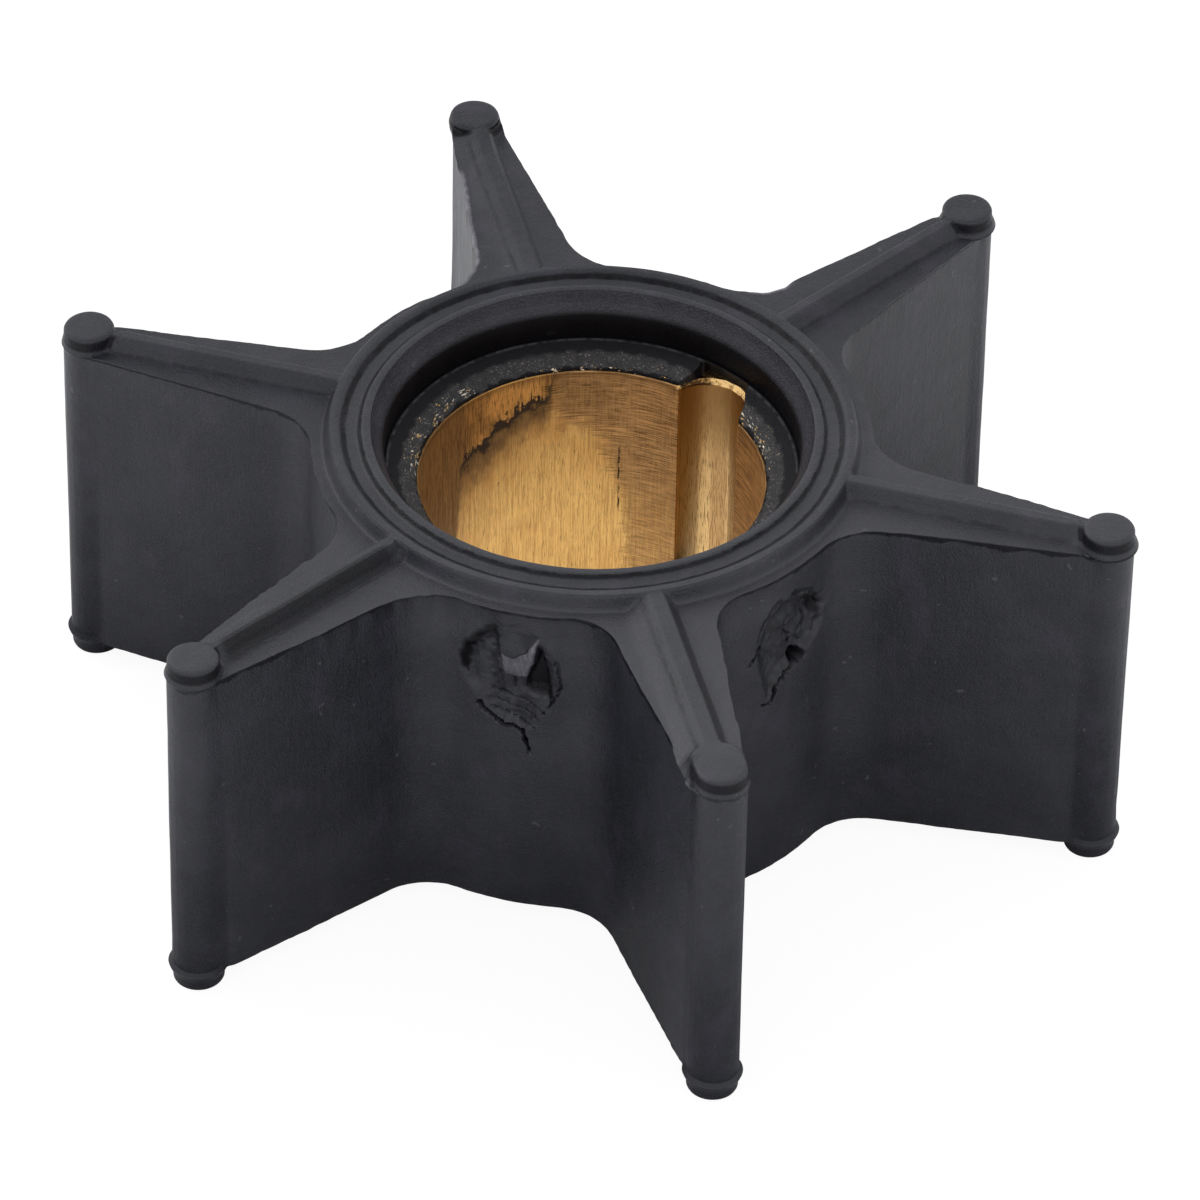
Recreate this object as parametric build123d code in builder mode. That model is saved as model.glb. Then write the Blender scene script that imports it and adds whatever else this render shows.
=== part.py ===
from math import cos, hypot, radians, sin
import os

from build123d import *

# Rubber pump impeller: six flexible vanes moulded in one piece round a keyed brass bush.
# Millimetres, axis on Z, base plane through the bottom faces of the vane pads, first vane toward +Y.

# Overall sizes
overall_height = 26.2
vane_count = 6
first_vane_angle = 90.0

# Brass bush and its round-bottomed keyway
bore_radius = 11.0
keyway_radius = 2.6
keyway_inset = 0.45
keyway_angle = 32.5
wall_behind_keyway = 1.15
bush_set_back = 4.3

# Rubber skin lapped over both ends of the bush, and the counterbore above it
skin_set_back = 0.25
skin_inner_thickness = 0.2
skin_outer_thickness = 1.1
skin_key_clearance = 0.3
counterbore_ledge = 2.2
chamfer_width = 0.95
chamfer_depth = 1.4

# Raised ring round each end of the hub: inner bead, shallow channel, outer bead, flank
ring_rise = 1.05
inner_bead_width = 0.55
channel_width = 1.1
channel_depth = 0.25
channel_slope = 0.25
outer_bead_width = 0.35
ring_flank_run = 0.35
hub_land_width = 0.8

# Vanes: reach from the hub wall to the pad's axis, half thickness at both ends, bead down the tip
vane_reach = 15.8
vane_root_half = 3.45
vane_tip_half = 1.6
tip_bead_radius = 1.66
root_fillet = 4.2

# Pad at the end of each vane with a flared lip at its foot, and the raised rib leading to it
pad_radius = 1.6
pad_rise = 1.15
pad_edge_chamfer = 0.15
lip_flare = 0.25
lip_edge_drop = 0.2
lip_underside = 0.25
lip_rise = 0.5
rib_rise = 1.0
rib_top_half = 0.36
rib_foot_half = 0.92

# Torn gate marks on the hub wall, in the middle of two neighbouring pockets
gate_mark_pockets = (2, 3)
gate_mark_offset = 6.3
gate_mark_radius = 3.2
gate_mark_depth = 0.6
gate_stub_radius = 1.3
gate_stub_length = 0.9
gate_stub_taper = 12.0

# Radii worked out from the bore outwards
keyway_centre_radius = bore_radius - keyway_inset
bush_outer_radius = keyway_centre_radius + keyway_radius + wall_behind_keyway
skin_inner_radius = bore_radius + skin_set_back
counterbore_radius = bore_radius + counterbore_ledge
ring_inner_radius = counterbore_radius + chamfer_width
channel_inner_radius = ring_inner_radius + inner_bead_width
channel_outer_radius = channel_inner_radius + channel_width + 2 * channel_slope
ring_crest_radius = channel_outer_radius + outer_bead_width
ring_foot_radius = ring_crest_radius + ring_flank_run
hub_radius = ring_foot_radius + hub_land_width
pad_circle_radius = hub_radius + vane_reach

# Heights worked out from the overall height
mid_height = overall_height / 2
land_height = overall_height - pad_rise
lip_edge_height = land_height - lip_edge_drop
ring_height = land_height + ring_rise
bush_top = ring_height - bush_set_back


def vane_half_at(radius):
    """Half thickness of a vane's walls at a distance from the axis."""
    share = (radius - hub_radius) / vane_reach
    return vane_root_half + (vane_tip_half - vane_root_half) * share


def on_hub_wall(vertex):
    """True where a vane's wall meets the round wall of the hub."""
    return abs(hypot(vertex.X, vertex.Y) - hub_radius) < 0.01


# Ring, from under the land to its top
ring_profile = [
    (ring_inner_radius, mid_height),
    (ring_foot_radius, mid_height),
    (ring_foot_radius, land_height),
    (ring_crest_radius, ring_height),
    (channel_outer_radius, ring_height),
    (channel_outer_radius - channel_slope, ring_height - channel_depth),
    (channel_inner_radius + channel_slope, ring_height - channel_depth),
    (channel_inner_radius, ring_height),
    (ring_inner_radius, ring_height),
]

# Hollow of the rubber above mid height: seat of the bush, skin over its end, counterbore
hollow_profile = [
    (0, mid_height),
    (bush_outer_radius, mid_height),
    (bush_outer_radius, bush_top),
    (skin_inner_radius, bush_top),
    (skin_inner_radius, bush_top + skin_inner_thickness),
    (counterbore_radius, bush_top + skin_outer_thickness),
    (counterbore_radius, ring_height - chamfer_depth),
    (ring_inner_radius, ring_height),
    (ring_inner_radius, overall_height),
    (0, overall_height),
]

# One rib lying along +X, from inside the ring to the pad's axis
with BuildPart() as rib:
    with BuildSketch(Plane.YZ.offset(channel_outer_radius)):
        with BuildLine():
            Polyline(
                (-rib_foot_half, land_height),
                (rib_foot_half, land_height),
                (rib_top_half, land_height + rib_rise),
                (-rib_top_half, land_height + rib_rise),
                close=True,
            )
        make_face()
    extrude(amount=pad_circle_radius - channel_outer_radius)

# One pad with its lip, on its own axis
with BuildPart() as pad:
    with BuildSketch(Plane.XZ):
        with BuildLine():
            Polyline(
                (0, lip_edge_height - lip_underside),
                (tip_bead_radius, lip_edge_height - lip_underside),
                (tip_bead_radius + lip_flare, lip_edge_height),
                (pad_radius, land_height + lip_rise),
                (pad_radius, overall_height),
                (0, overall_height),
                close=True,
            )
        make_face()
    revolve(axis=Axis.Z)
    chamfer(pad.edges().group_by(Axis.Z)[-1], pad_edge_chamfer)

# Rubber moulding: the upper half with its mirror image, then the gate marks
with BuildPart() as rubber_impeller:
    with BuildSketch(Plane.XY.offset(mid_height)):
        Circle(hub_radius)
        with PolarLocations(0, vane_count, first_vane_angle):
            Polygon(
                (0, -vane_half_at(0)),
                (pad_circle_radius, -vane_tip_half),
                (pad_circle_radius, vane_tip_half),
                (0, vane_half_at(0)),
                align=None,
            )
        with PolarLocations(pad_circle_radius, vane_count, first_vane_angle):
            Circle(tip_bead_radius)
        fillet([v for v in vertices() if on_hub_wall(v)], root_fillet)
    extrude(amount=land_height - mid_height)
    with PolarLocations(0, vane_count, first_vane_angle):
        add(rib.part)
    with PolarLocations(pad_circle_radius, vane_count, first_vane_angle):
        add(pad.part)
    with BuildSketch(Plane.XZ):
        with BuildLine():
            Polyline(*ring_profile, close=True)
        make_face()
    revolve(axis=Axis.Z)
    with BuildSketch(Plane.XZ):
        with BuildLine():
            Polyline(*hollow_profile, close=True)
        make_face()
    revolve(axis=Axis.Z, mode=Mode.SUBTRACT)
    with BuildSketch(Plane.XY.offset(bush_top)):
        with PolarLocations(keyway_centre_radius, 1, keyway_angle):
            Circle(keyway_radius + skin_key_clearance)
    extrude(amount=skin_outer_thickness, mode=Mode.SUBTRACT)
    mirror(about=Plane.XY.offset(mid_height))
    for pocket in gate_mark_pockets:
        angle = radians(first_vane_angle + (pocket + 0.5) * 360 / vane_count)
        outward = (cos(angle), sin(angle), 0)
        floor_radius = hub_radius - gate_mark_depth
        floor_centre = (
            floor_radius * outward[0],
            floor_radius * outward[1],
            mid_height + gate_mark_offset,
        )
        mark_plane = Plane(origin=floor_centre, x_dir=(0, 0, 1), z_dir=outward)
        with BuildSketch(mark_plane):
            Circle(gate_mark_radius)
        extrude(amount=gate_mark_depth, mode=Mode.SUBTRACT)
        with BuildSketch(mark_plane):
            Circle(gate_stub_radius)
        extrude(amount=gate_stub_length, taper=gate_stub_taper)

# Brass bush, bonded in the hub
with BuildPart() as brass_bush:
    with BuildSketch(Plane.XY.offset(overall_height - bush_top)):
        Circle(bush_outer_radius)
        Circle(bore_radius, mode=Mode.SUBTRACT)
        with PolarLocations(keyway_centre_radius, 1, keyway_angle):
            Circle(keyway_radius, mode=Mode.SUBTRACT)
    extrude(amount=2 * (bush_top - mid_height))

rubber_impeller.part.label = "rubber_impeller"
brass_bush.part.label = "brass_bush"

os.makedirs("parts", exist_ok=True)
export_step(rubber_impeller.part, "parts/rubber_impeller.step")
export_step(brass_bush.part, "parts/brass_bush.step")
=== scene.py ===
import math
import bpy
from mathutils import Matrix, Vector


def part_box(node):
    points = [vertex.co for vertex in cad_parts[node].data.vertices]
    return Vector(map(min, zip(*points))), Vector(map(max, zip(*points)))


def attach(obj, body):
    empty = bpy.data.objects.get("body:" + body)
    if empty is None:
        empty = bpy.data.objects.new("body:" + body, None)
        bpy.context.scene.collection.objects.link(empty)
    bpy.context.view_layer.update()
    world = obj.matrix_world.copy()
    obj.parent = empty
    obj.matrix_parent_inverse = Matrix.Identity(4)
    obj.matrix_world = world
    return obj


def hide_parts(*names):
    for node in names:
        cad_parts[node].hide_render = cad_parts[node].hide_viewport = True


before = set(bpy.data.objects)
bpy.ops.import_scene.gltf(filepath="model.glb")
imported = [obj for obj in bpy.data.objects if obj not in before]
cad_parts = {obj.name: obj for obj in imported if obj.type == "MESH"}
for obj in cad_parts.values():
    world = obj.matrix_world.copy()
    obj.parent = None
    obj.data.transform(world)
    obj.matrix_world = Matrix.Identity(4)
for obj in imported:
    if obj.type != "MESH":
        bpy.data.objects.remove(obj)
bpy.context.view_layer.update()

from types import SimpleNamespace

import bmesh
import bpy
import numpy as np
from bpy.props import FloatProperty, FloatVectorProperty, PointerProperty
from bpy.types import Operator, Panel, PropertyGroup
from mathutils import Matrix, Vector, noise
from mathutils.geometry import delaunay_2d_cdt

bl_info = {
    "name": "Rubber Pump Impeller",
    "version": (1, 0, 0),
    "blender": (4, 5, 0),
    "location": "3D View > Sidebar > Impeller",
    "description": "Torn and dusty rubber impeller moulded round a stained brass bush",
    "category": "Object",
}

# The meshes are worked out in millimetres and written in metres
METRE = 0.001
VANES = 6
FIRST_VANE = 90.0
PITCH = 360.0 / VANES
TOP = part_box("rubber_impeller")[1].z / METRE
MIDDLE = TOP / 2
BUSH_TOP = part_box("brass_bush")[1].z / METRE
SEAT_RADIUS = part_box("brass_bush")[1].x / METRE
PAD_RISE = 1.15
LAND = TOP - PAD_RISE
PAD_CIRCLE = 33.6
KEYWAY_CENTRE = 10.55
KEYWAY_ANGLE = 32.5
DEGREES = 180.0 / math.pi


# Properties


def length(label, millimetres, description):
    """A length property with its default in millimetres."""
    return FloatProperty(
        name=label, description=description, default=millimetres * METRE,
        unit="LENGTH", subtype="DISTANCE", precision=5,
    )


def turn(label, degrees, description):
    """An angle property with its default in degrees."""
    return FloatProperty(
        name=label, description=description, default=math.radians(degrees), unit="ROTATION", subtype="ANGLE"
    )


def colour(label, rgb, description):
    """A colour property."""
    return FloatVectorProperty(
        name=label, description=description, default=rgb, size=3, min=0.0, max=1.0, subtype="COLOR"
    )


def amount(label, value, description):
    """A plain number property from nought upwards."""
    return FloatProperty(name=label, description=description, default=value, min=0.0)


class MouldingSizes(PropertyGroup):
    """Sizes of the rubber moulding."""

    hub_radius: length("Hub Radius", 17.8, "Radius of the hub's outer wall")
    vane_reach: length("Vane Reach", 15.8, "Distance from the hub wall to the pads' axes")
    root_half: length("Root Half Thickness", 3.45, "Half thickness of a vane at the hub wall")
    tip_half: length("Tip Half Thickness", 1.6, "Half thickness of a vane at its pad")
    bead_radius: length("Tip Bead", 1.66, "Radius of the bead down each vane's tip")
    root_fillet: length("Root Fillet", 4.2, "Radius between a vane and the hub wall")
    pad_rise: length("Pad Rise", PAD_RISE, "Height of a pad above the land")
    ring_rise: length("Ring Rise", 1.05, "Height of the raised ring above the land")
    ring_foot: length("Ring Foot", 17.0, "Radius at the foot of the ring's flank")
    ring_crest: length("Ring Crest", 16.65, "Outer radius of the ring's crest")
    channel_outer: length("Channel Outer", 16.3, "Outer radius of the ring's channel")
    channel_inner: length("Channel Inner", 14.52, "Inner radius of the ring's channel")
    channel_depth: length("Channel Depth", 0.36, "Depth of the ring's channel")
    ring_inner: length("Ring Inner", 14.03, "Radius at the top of the counterbore's chamfer")
    chamfer_depth: length("Chamfer Depth", 1.4, "Depth of the counterbore's chamfer")
    counterbore: length("Counterbore", 13.2, "Radius of the counterbore")
    skin_outer: length("Skin Outer", 1.13, "Thickness of the end skin at the counterbore")
    skin_inner: length("Skin Inner", 0.2, "Thickness of the end skin at the bore")
    skin_radius: length("Skin Radius", 11.09, "Radius of the end skin's torn edge")
    flash: length("Flash", 0.16, "How far the torn flash stands out of the wall's edge where it is thickest")


class BushSizes(PropertyGroup):
    """Sizes of the brass bush."""

    bore: length("Bore Radius", 11.0, "Radius of the bore")
    keyway: length("Keyway Radius", 2.6, "Radius of the round-bottomed keyway")
    keyway_centre: length("Keyway Centre", KEYWAY_CENTRE, "Distance from the axis to the keyway's own axis")
    keyway_angle: turn("Keyway Angle", KEYWAY_ANGLE, "Place of the keyway round the bore")
    edge_break: length("Edge Break", 0.05, "Chamfer round the bore")
    key_break: length("Keyway Break", 0.30, "Worn chamfer round the keyway")


class RubberFinish(PropertyGroup):
    """Colours and grain of the rubber."""

    dark: colour("Dark Rubber", (0.0085, 0.009, 0.0125), "Colour of the rubber")
    pale: colour("Pale Rubber", (0.018, 0.0185, 0.025), "Colour of the paler clouds in the rubber")
    torn: colour("Torn Rubber", (0.215, 0.205, 0.235), "Colour of freshly torn rubber")
    dust: colour("Dust", (0.33, 0.32, 0.30), "Colour of the dust specks")
    grain: amount("Grain", 0.55, "Strength of the grain")


class BrassFinish(PropertyGroup):
    """Colours of the brass."""

    bright: colour("Bright Brass", (0.88, 0.53, 0.175), "Colour of the clean brass")
    orange: colour("Orange Brass", (0.56, 0.32, 0.105), "Colour of the tarnished patch")
    stain: colour("Stain", (0.022, 0.013, 0.008), "Colour of the dark water stain")


class StageSettings(PropertyGroup):
    """Camera and lamps."""

    azimuth: turn("Azimuth", -14.117, "Turn of the view round the impeller")
    elevation: turn("Elevation", 39.865, "Height of the view above the horizon")
    roll: turn("Roll", 1.082, "Turn of the camera about its own axis")
    distance: length("Distance", 546.3, "From the camera to the point that it looks at")
    focal: FloatProperty(
        name="Focal Length", description="Focal length on a 36 mm sensor", default=266.0, unit="CAMERA"
    )
    sky: amount("Sky", 0.90, "Strength of the even light from all round")
    mirrored: amount("Mirrored Sky", 1.12, "Strength of the sky as glossy surfaces mirror it")
    key: amount("Key", 1.3, "Power of the large lamp behind on the left, in watts")
    fill: amount("Fill", 0.05, "Power of the lamp beside the camera, in watts")


def in_millimetres(group):
    """A property group's values, with each length in millimetres."""
    values = {}
    for name in group.__annotations__:
        unit = group.bl_rna.properties[name].unit
        values[name] = getattr(group, name) / METRE if unit == "LENGTH" else getattr(group, name)
    return SimpleNamespace(**values)


# Helpers for shapes


def ripple(points, size, seed):
    """Smooth noise from about -1 to 1 at each point, in lumps of about the given size."""
    shift = Vector((17.3 * seed, 5.1 * seed, 9.7 * seed))
    return np.array([noise.noise(Vector(p) / size + shift) for p in points])


def smoothstep(low, high, value):
    """Nought below low, one above high, and a smooth rise between them."""
    share = np.clip((value - low) / (high - low), 0.0, 1.0)
    return share * share * (3.0 - 2.0 * share)


def smooth_max(a, b, blend):
    """The larger of two heights, with a fillet of about the given size where they cross."""
    share = np.clip(0.5 + 0.5 * (a - b) / blend, 0.0, 1.0)
    return b + (a - b) * share + blend * share * (1.0 - share)


def turned(points, angle):
    """Plan points turned about the axis."""
    c, s = math.cos(angle), math.sin(angle)
    return points @ np.array([[c, s], [-s, c]])


def outline_distance(outline, points):
    """Distance from each point to a closed outline, positive inside it."""
    first = np.asarray(outline, float)
    edge = np.roll(first, -1, axis=0) - first
    away = points[:, None, :] - first[None]
    share = np.clip((away * edge).sum(2) / (edge**2).sum(1), 0.0, 1.0)
    distance = np.linalg.norm(away - share[..., None] * edge, axis=2).min(1)
    crosses = (first[:, 1] <= points[:, None, 1]) != (np.roll(first[:, 1], -1) <= points[:, None, 1])
    rise = np.where(edge[:, 1] == 0.0, 1.0, edge[:, 1])
    at = first[:, 0] + (points[:, None, 1] - first[:, 1]) * edge[:, 0] / rise
    inside = (crosses & (points[:, None, 0] < at)).sum(1) % 2 == 1
    return np.where(inside, distance, -distance)


def track_distance(track, points):
    """Distance from each point to an open line, and how far along it the nearest place is, from 0 to 1."""
    first = np.asarray(track[:-1], float)
    edge = np.asarray(track[1:], float) - first
    away = points[:, None, :] - first[None]
    share = np.clip((away * edge).sum(2) / (edge**2).sum(1), 0.0, 1.0)
    distance = np.linalg.norm(away - share[..., None] * edge, axis=2)
    nearest = distance.argmin(1)
    rows = np.arange(len(points))
    return distance[rows, nearest], (nearest + share[rows, nearest]) / len(first)


def hexagonal(low, high, step):
    """Points of a triangular lattice that fills a box."""
    rows = []
    for index, y in enumerate(np.arange(low[1], high[1], step * math.sqrt(0.75))):
        x = np.arange(low[0] + (index % 2) * step / 2, high[0], step)
        rows.append(np.stack([x, np.full_like(x, y)], 1))
    return np.concatenate(rows)


def fill_loop(loop, inner):
    """Triangles that fill a closed loop of points and join the points inside it. The loop's points come first."""
    points = [Vector(p) for p in np.concatenate([loop, inner])]
    plan, _, faces, origins, _, _ = delaunay_2d_cdt(points, [], [list(range(len(loop)))], 1, 1e-6, True)
    faces = np.array(faces)
    within = outline_distance(loop, np.array([tuple(p) for p in plan])[faces].mean(1)) > 0.0
    back = np.array([min(o) for o in origins])
    return back[faces[within]]


class Shell:
    """Points and faces of one mesh, in millimetres and inside a part's own box, with a number for torn rubber that is
    negative where shade is painted.
    """

    def __init__(self, node_name):
        self.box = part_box(node_name)
        self.points, self.torn, self.faces, self.slots, self.count = [], [], [], [], 0

    def add(self, points, torn=None):
        """Adds points and returns their numbers in the same arrangement."""
        flat = np.asarray(points, float).reshape(-1, 3)
        self.points.append(flat)
        self.torn.append(np.zeros(len(flat)) if torn is None else np.asarray(torn, float).reshape(-1))
        numbers = np.arange(self.count, self.count + len(flat)).reshape(np.shape(points)[:-1])
        self.count += len(flat)
        return numbers

    def quads(self, rows, slot=0, closed=False):
        """Faces between neighbouring rows of point numbers."""
        rows = np.asarray(rows)
        if closed:
            rows = np.concatenate([rows, rows[:, :1]], 1)
        found = np.stack([rows[:-1, :-1], rows[:-1, 1:], rows[1:, 1:], rows[1:, :-1]], -1).reshape(-1, 4)
        self.faces += found.tolist()
        self.slots += [slot] * len(found)

    def triangles(self, faces, slot=0):
        """Faces given as lists of point numbers."""
        self.faces += [list(face) for face in faces]
        self.slots += [slot] * len(faces)

    def build(self, name, materials, sharp=38.0):
        """The welded, closed mesh as an object."""
        mesh = bpy.data.meshes.new(name)
        low, high = (np.array(corner) / METRE for corner in self.box)
        points = np.clip(np.concatenate(self.points), low, high)
        mesh.from_pydata((points * METRE).tolist(), [], self.faces)
        for material in materials:
            mesh.materials.append(material)
        mesh.polygons.foreach_set("material_index", self.slots)
        # The torn number: torn rubber where positive, painted shade where negative
        torn = mesh.attributes.new("torn", "FLOAT", "POINT")
        torn.data.foreach_set("value", np.concatenate(self.torn))
        work = bmesh.new()
        work.from_mesh(mesh)
        bmesh.ops.remove_doubles(work, verts=work.verts, dist=0.004 * METRE)
        bmesh.ops.dissolve_degenerate(work, edges=work.edges, dist=0.001 * METRE)
        bmesh.ops.delete(work, geom=[v for v in work.verts if not v.link_faces], context="VERTS")
        bmesh.ops.recalc_face_normals(work, faces=work.faces)
        limit = math.radians(sharp)
        for face in work.faces:
            face.smooth = True
        for edge in work.edges:
            edge.smooth = len(edge.link_faces) == 2 and edge.calc_face_angle(0.0) < limit
        work.to_mesh(mesh)
        work.free()
        piece = bpy.data.objects.new(name, mesh)
        bpy.context.scene.collection.objects.link(piece)
        return piece


# Plan of one vane


def vane_outline(m):
    """Evenly spaced points and outward normals round one vane lying along +X, from pocket to pocket."""
    fine = 0.02
    pad_u = m.hub_radius + m.vane_reach
    slope = (m.tip_half - m.root_half) / m.vane_reach
    level = m.root_half - slope * m.hub_radius
    stretch = math.hypot(1.0, slope)
    outward = np.array([-slope, 1.0]) / stretch
    # Where the wall meets the bead
    b, c = slope * level - pad_u, level**2 + pad_u**2 - m.bead_radius**2
    meet_u = (-b - math.sqrt(b * b - stretch**2 * c)) / stretch**2
    meet = np.array([meet_u, level + slope * meet_u])
    # The fillet's centre lies one radius from the wall and one from the hub
    raised = level + m.root_fillet * stretch
    b, c = slope * raised, raised**2 - (m.hub_radius + m.root_fillet) ** 2
    centre_u = (-b + math.sqrt(b * b - stretch**2 * c)) / stretch**2
    centre = np.array([centre_u, raised + slope * centre_u])
    leave = centre - m.root_fillet * outward
    hub_angle = math.atan2(centre[1], centre[0])

    def arc(middle, radius, start, end, sense):
        angles = np.linspace(start, end, max(3, math.ceil(abs(end - start) * radius / fine)))
        radii = np.stack([np.cos(angles), np.sin(angles)], 1)
        return middle + radius * radii, sense * radii

    straight = np.linspace(meet, leave, math.ceil(np.linalg.norm(leave - meet) / fine))
    parts = [
        arc(np.array([pad_u, 0.0]), m.bead_radius, 0.0, math.atan2(meet[1], meet[0] - pad_u), 1),
        (straight, np.tile(outward, (len(straight), 1))),
        arc(centre, m.root_fillet, math.atan2(-outward[1], -outward[0]), hub_angle - math.pi, -1),
        arc(np.zeros(2), m.hub_radius, hub_angle, math.radians(PITCH / 2), 1),
    ]
    far = np.concatenate([p for p, _ in parts])
    normals = np.concatenate([n for _, n in parts])
    points = np.concatenate([far[:0:-1] * (1, -1), far])
    normals = np.concatenate([normals[:0:-1] * (1, -1), normals])
    steps = np.linalg.norm(np.diff(points, axis=0), axis=1)
    keep = np.concatenate([[True], steps > 1e-9])
    points, normals = points[keep], normals[keep]
    along = np.concatenate([[0.0], np.cumsum(np.linalg.norm(np.diff(points, axis=0), axis=1))])
    even = np.linspace(0.0, along[-1], 3 * round(along[-1] / 0.6) + 1)
    points = np.stack([np.interp(even, along, points[:, i]) for i in (0, 1)], 1)
    normals = np.stack([np.interp(even, along, normals[:, i]) for i in (0, 1)], 1)
    return even, points, normals / np.linalg.norm(normals, axis=1, keepdims=True)


def vane_look(**differences):
    """How one vane's land, rib and pad differ from a plain vane's."""
    # groove gives the start, end and strength of painted shade across one flank of the rib
    plain = {
        "flare": 0.25, "drop": 0.2, "rib_rise": 1.0, "rib_top": 0.36, "feet": (0.92, 0.92), "rib_shift": 0.0,
        "neck": 0.0, "neck_run": 4.2, "spread": 0.0, "groove": None, "flash": 0.3,
    }
    return SimpleNamespace(**{**plain, **differences})


PLAIN_VANE = vane_look(flash=0.12)
UPPER_VANES = (
    vane_look(flare=0.05, drop=-0.55, rib_rise=0.75, rib_top=0.42, feet=(2.0, 0.85), neck=0.05, rib_shift=-0.1,
              flash=0.15),
    vane_look(flare=0.12, drop=0.1, flash=0.2),
    vane_look(flare=0.14, drop=0.05, feet=(0.85, 1.15), rib_shift=-0.3, groove=(-0.35, 0.75, 0.55), flash=1.0),
    vane_look(flare=0.12, drop=0.05, rib_top=0.46, feet=(1.25, 1.9), neck=1.1, neck_run=2.7, spread=0.42,
              groove=(0.5, 1.3, 0.55), flash=0.5),
    vane_look(drop=0.2, flare=0.24, flash=0.8),
    vane_look(drop=0.2, flare=0.24, flash=0.35),
)


def lip_reach(m, look, plan):
    """How far the lip under the pad stands out of the outline at each of its points."""
    back = m.hub_radius + m.vane_reach - plan[:, 0]
    lip_radius = m.bead_radius + look.flare
    beside = np.sqrt(np.maximum(lip_radius**2 - back**2, 0.0)) - np.abs(plan[:, 1])
    wide = look.spread * (1 - smoothstep(1.2, 4.5, back)) * smoothstep(-1.3, 0.3, back) * (plan[:, 1] < 0.0)
    return np.where(back < 0.31, look.flare, np.clip(beside, 0.0, look.flare)) + wide


# Stretches where the land's edge is torn back: vane, side, start and end from the axis, depth
TEARS = (
    (0, 1, 16.0, 29.6, 0.24),
    (5, 1, 17.5, 21.0, 0.25),
)


def flash_reach(m, look, local, world, vane, above):
    """How far ragged flash stands out of the land's edge, negative where the edge is torn back."""
    seed = 1 if above else 11
    flat = np.column_stack([world, np.full(len(world), 3.0 * seed)])
    coarse, fine, spiky = ripple(flat, 4.5, seed), ripple(flat, 0.5, seed + 1), ripple(flat, 0.8, seed + 2)
    flash = look.flash
    if above:
        # Neighbouring vanes have the same flash where they meet in the middle of a pocket
        to_seam = (math.radians(PITCH / 2) - np.abs(np.arctan2(local[:, 1], local[:, 0]))) * m.hub_radius
        flash = flash + (0.3 - flash) * (1.0 - smoothstep(0.3, 3.0, to_seam))
    ragged = smoothstep(-0.25, 0.3, coarse) * flash
    reach = 0.025 * fine + m.flash * ragged * np.clip(0.9 + 0.7 * spiky + 0.6 * fine, 0.0, 2.0)
    pad_u = m.hub_radius + m.vane_reach
    reach = reach * (1.0 - smoothstep(pad_u - 2.2, pad_u - 0.9, local[:, 0]))
    for torn_vane, side, start, end, depth in TEARS:
        if above and vane == torn_vane:
            within = smoothstep(start, start + 1.2, local[:, 0]) * (1 - smoothstep(end - 1.2, end, local[:, 0]))
            within = within * (np.sign(local[:, 1]) == side)
            bite = depth * (0.95 + 0.35 * ripple(flat, 2.6, 31) + 0.35 * ripple(flat, 0.5, 32))
            reach = reach * (1.0 - within) - np.maximum(bite, 0.0) * within
    return reach


# Upper face of one vane


def pad_section(m, look):
    """Section of a pad, its side and the lip under it, as distances from the pad's axis and heights above the land."""
    lip = m.bead_radius + look.flare
    rise, low = m.pad_rise, -look.drop
    return (
        (0.0, rise), (0.9, rise), (1.28, rise - 0.01), (1.45, rise - 0.03), (1.56, rise - 0.10), (1.62, rise - 0.22),
        (1.64, 0.50), (1.66 + 0.1 * look.flare, 0.36 - 0.2 * look.flare), (lip - 0.35 * look.flare, low + 0.26),
        (lip, low), (2.4, low - 1.0),
    )


def land_height(m, look, u):
    """Height of the land, which dips a little towards the pad."""
    pad_u = m.hub_radius + m.vane_reach
    return TOP - m.pad_rise - look.drop * smoothstep(pad_u - 1.5, pad_u - 0.6, u)


def upper_height(m, look, plan):
    """Height of the upper face over a vane lying along +X: land, rib, ring's flank and pad."""
    pad_u = m.hub_radius + m.vane_reach
    land = land_height(m, look, plan[:, 0])
    base = TOP - m.pad_rise
    radius = np.hypot(plan[:, 0], plan[:, 1])
    from_pad = np.hypot(plan[:, 0] - pad_u, plan[:, 1])
    near_pad = smoothstep(pad_u - look.neck_run, pad_u - 1.3, plan[:, 0])
    across = np.abs(plan[:, 1] - look.rib_shift) - look.neck * near_pad
    foot = np.where(plan[:, 1] > look.rib_shift, *look.feet)
    foot = foot + (0.92 - foot) * near_pad * (look.neck > 0.1)
    flank = (foot - across) / (foot - look.rib_top)
    top = look.rib_rise + (m.pad_rise - 0.05 - look.rib_rise) * near_pad * (look.neck > 0)
    rib = base + top * -smooth_max(-flank, -np.ones(len(plan)), 0.10)
    rib = np.where(plan[:, 0] > pad_u, 0.0, rib) - 3.0 * (1.0 - smoothstep(16.33, 16.44, radius))
    slope = (m.ring_foot - radius) / (m.ring_foot - m.ring_crest)
    ring = base + m.ring_rise * np.minimum(slope, 1.0)
    pad = base + np.interp(from_pad, *zip(*pad_section(m, look)))
    height = smooth_max(land, rib, 0.14)
    soft = 0.05 + 0.45 * smoothstep(16.75, 16.95, radius)
    height = smooth_max(height, ring, soft)
    return np.where(from_pad < 3.0, smooth_max(height, pad, 0.05), height)


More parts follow.
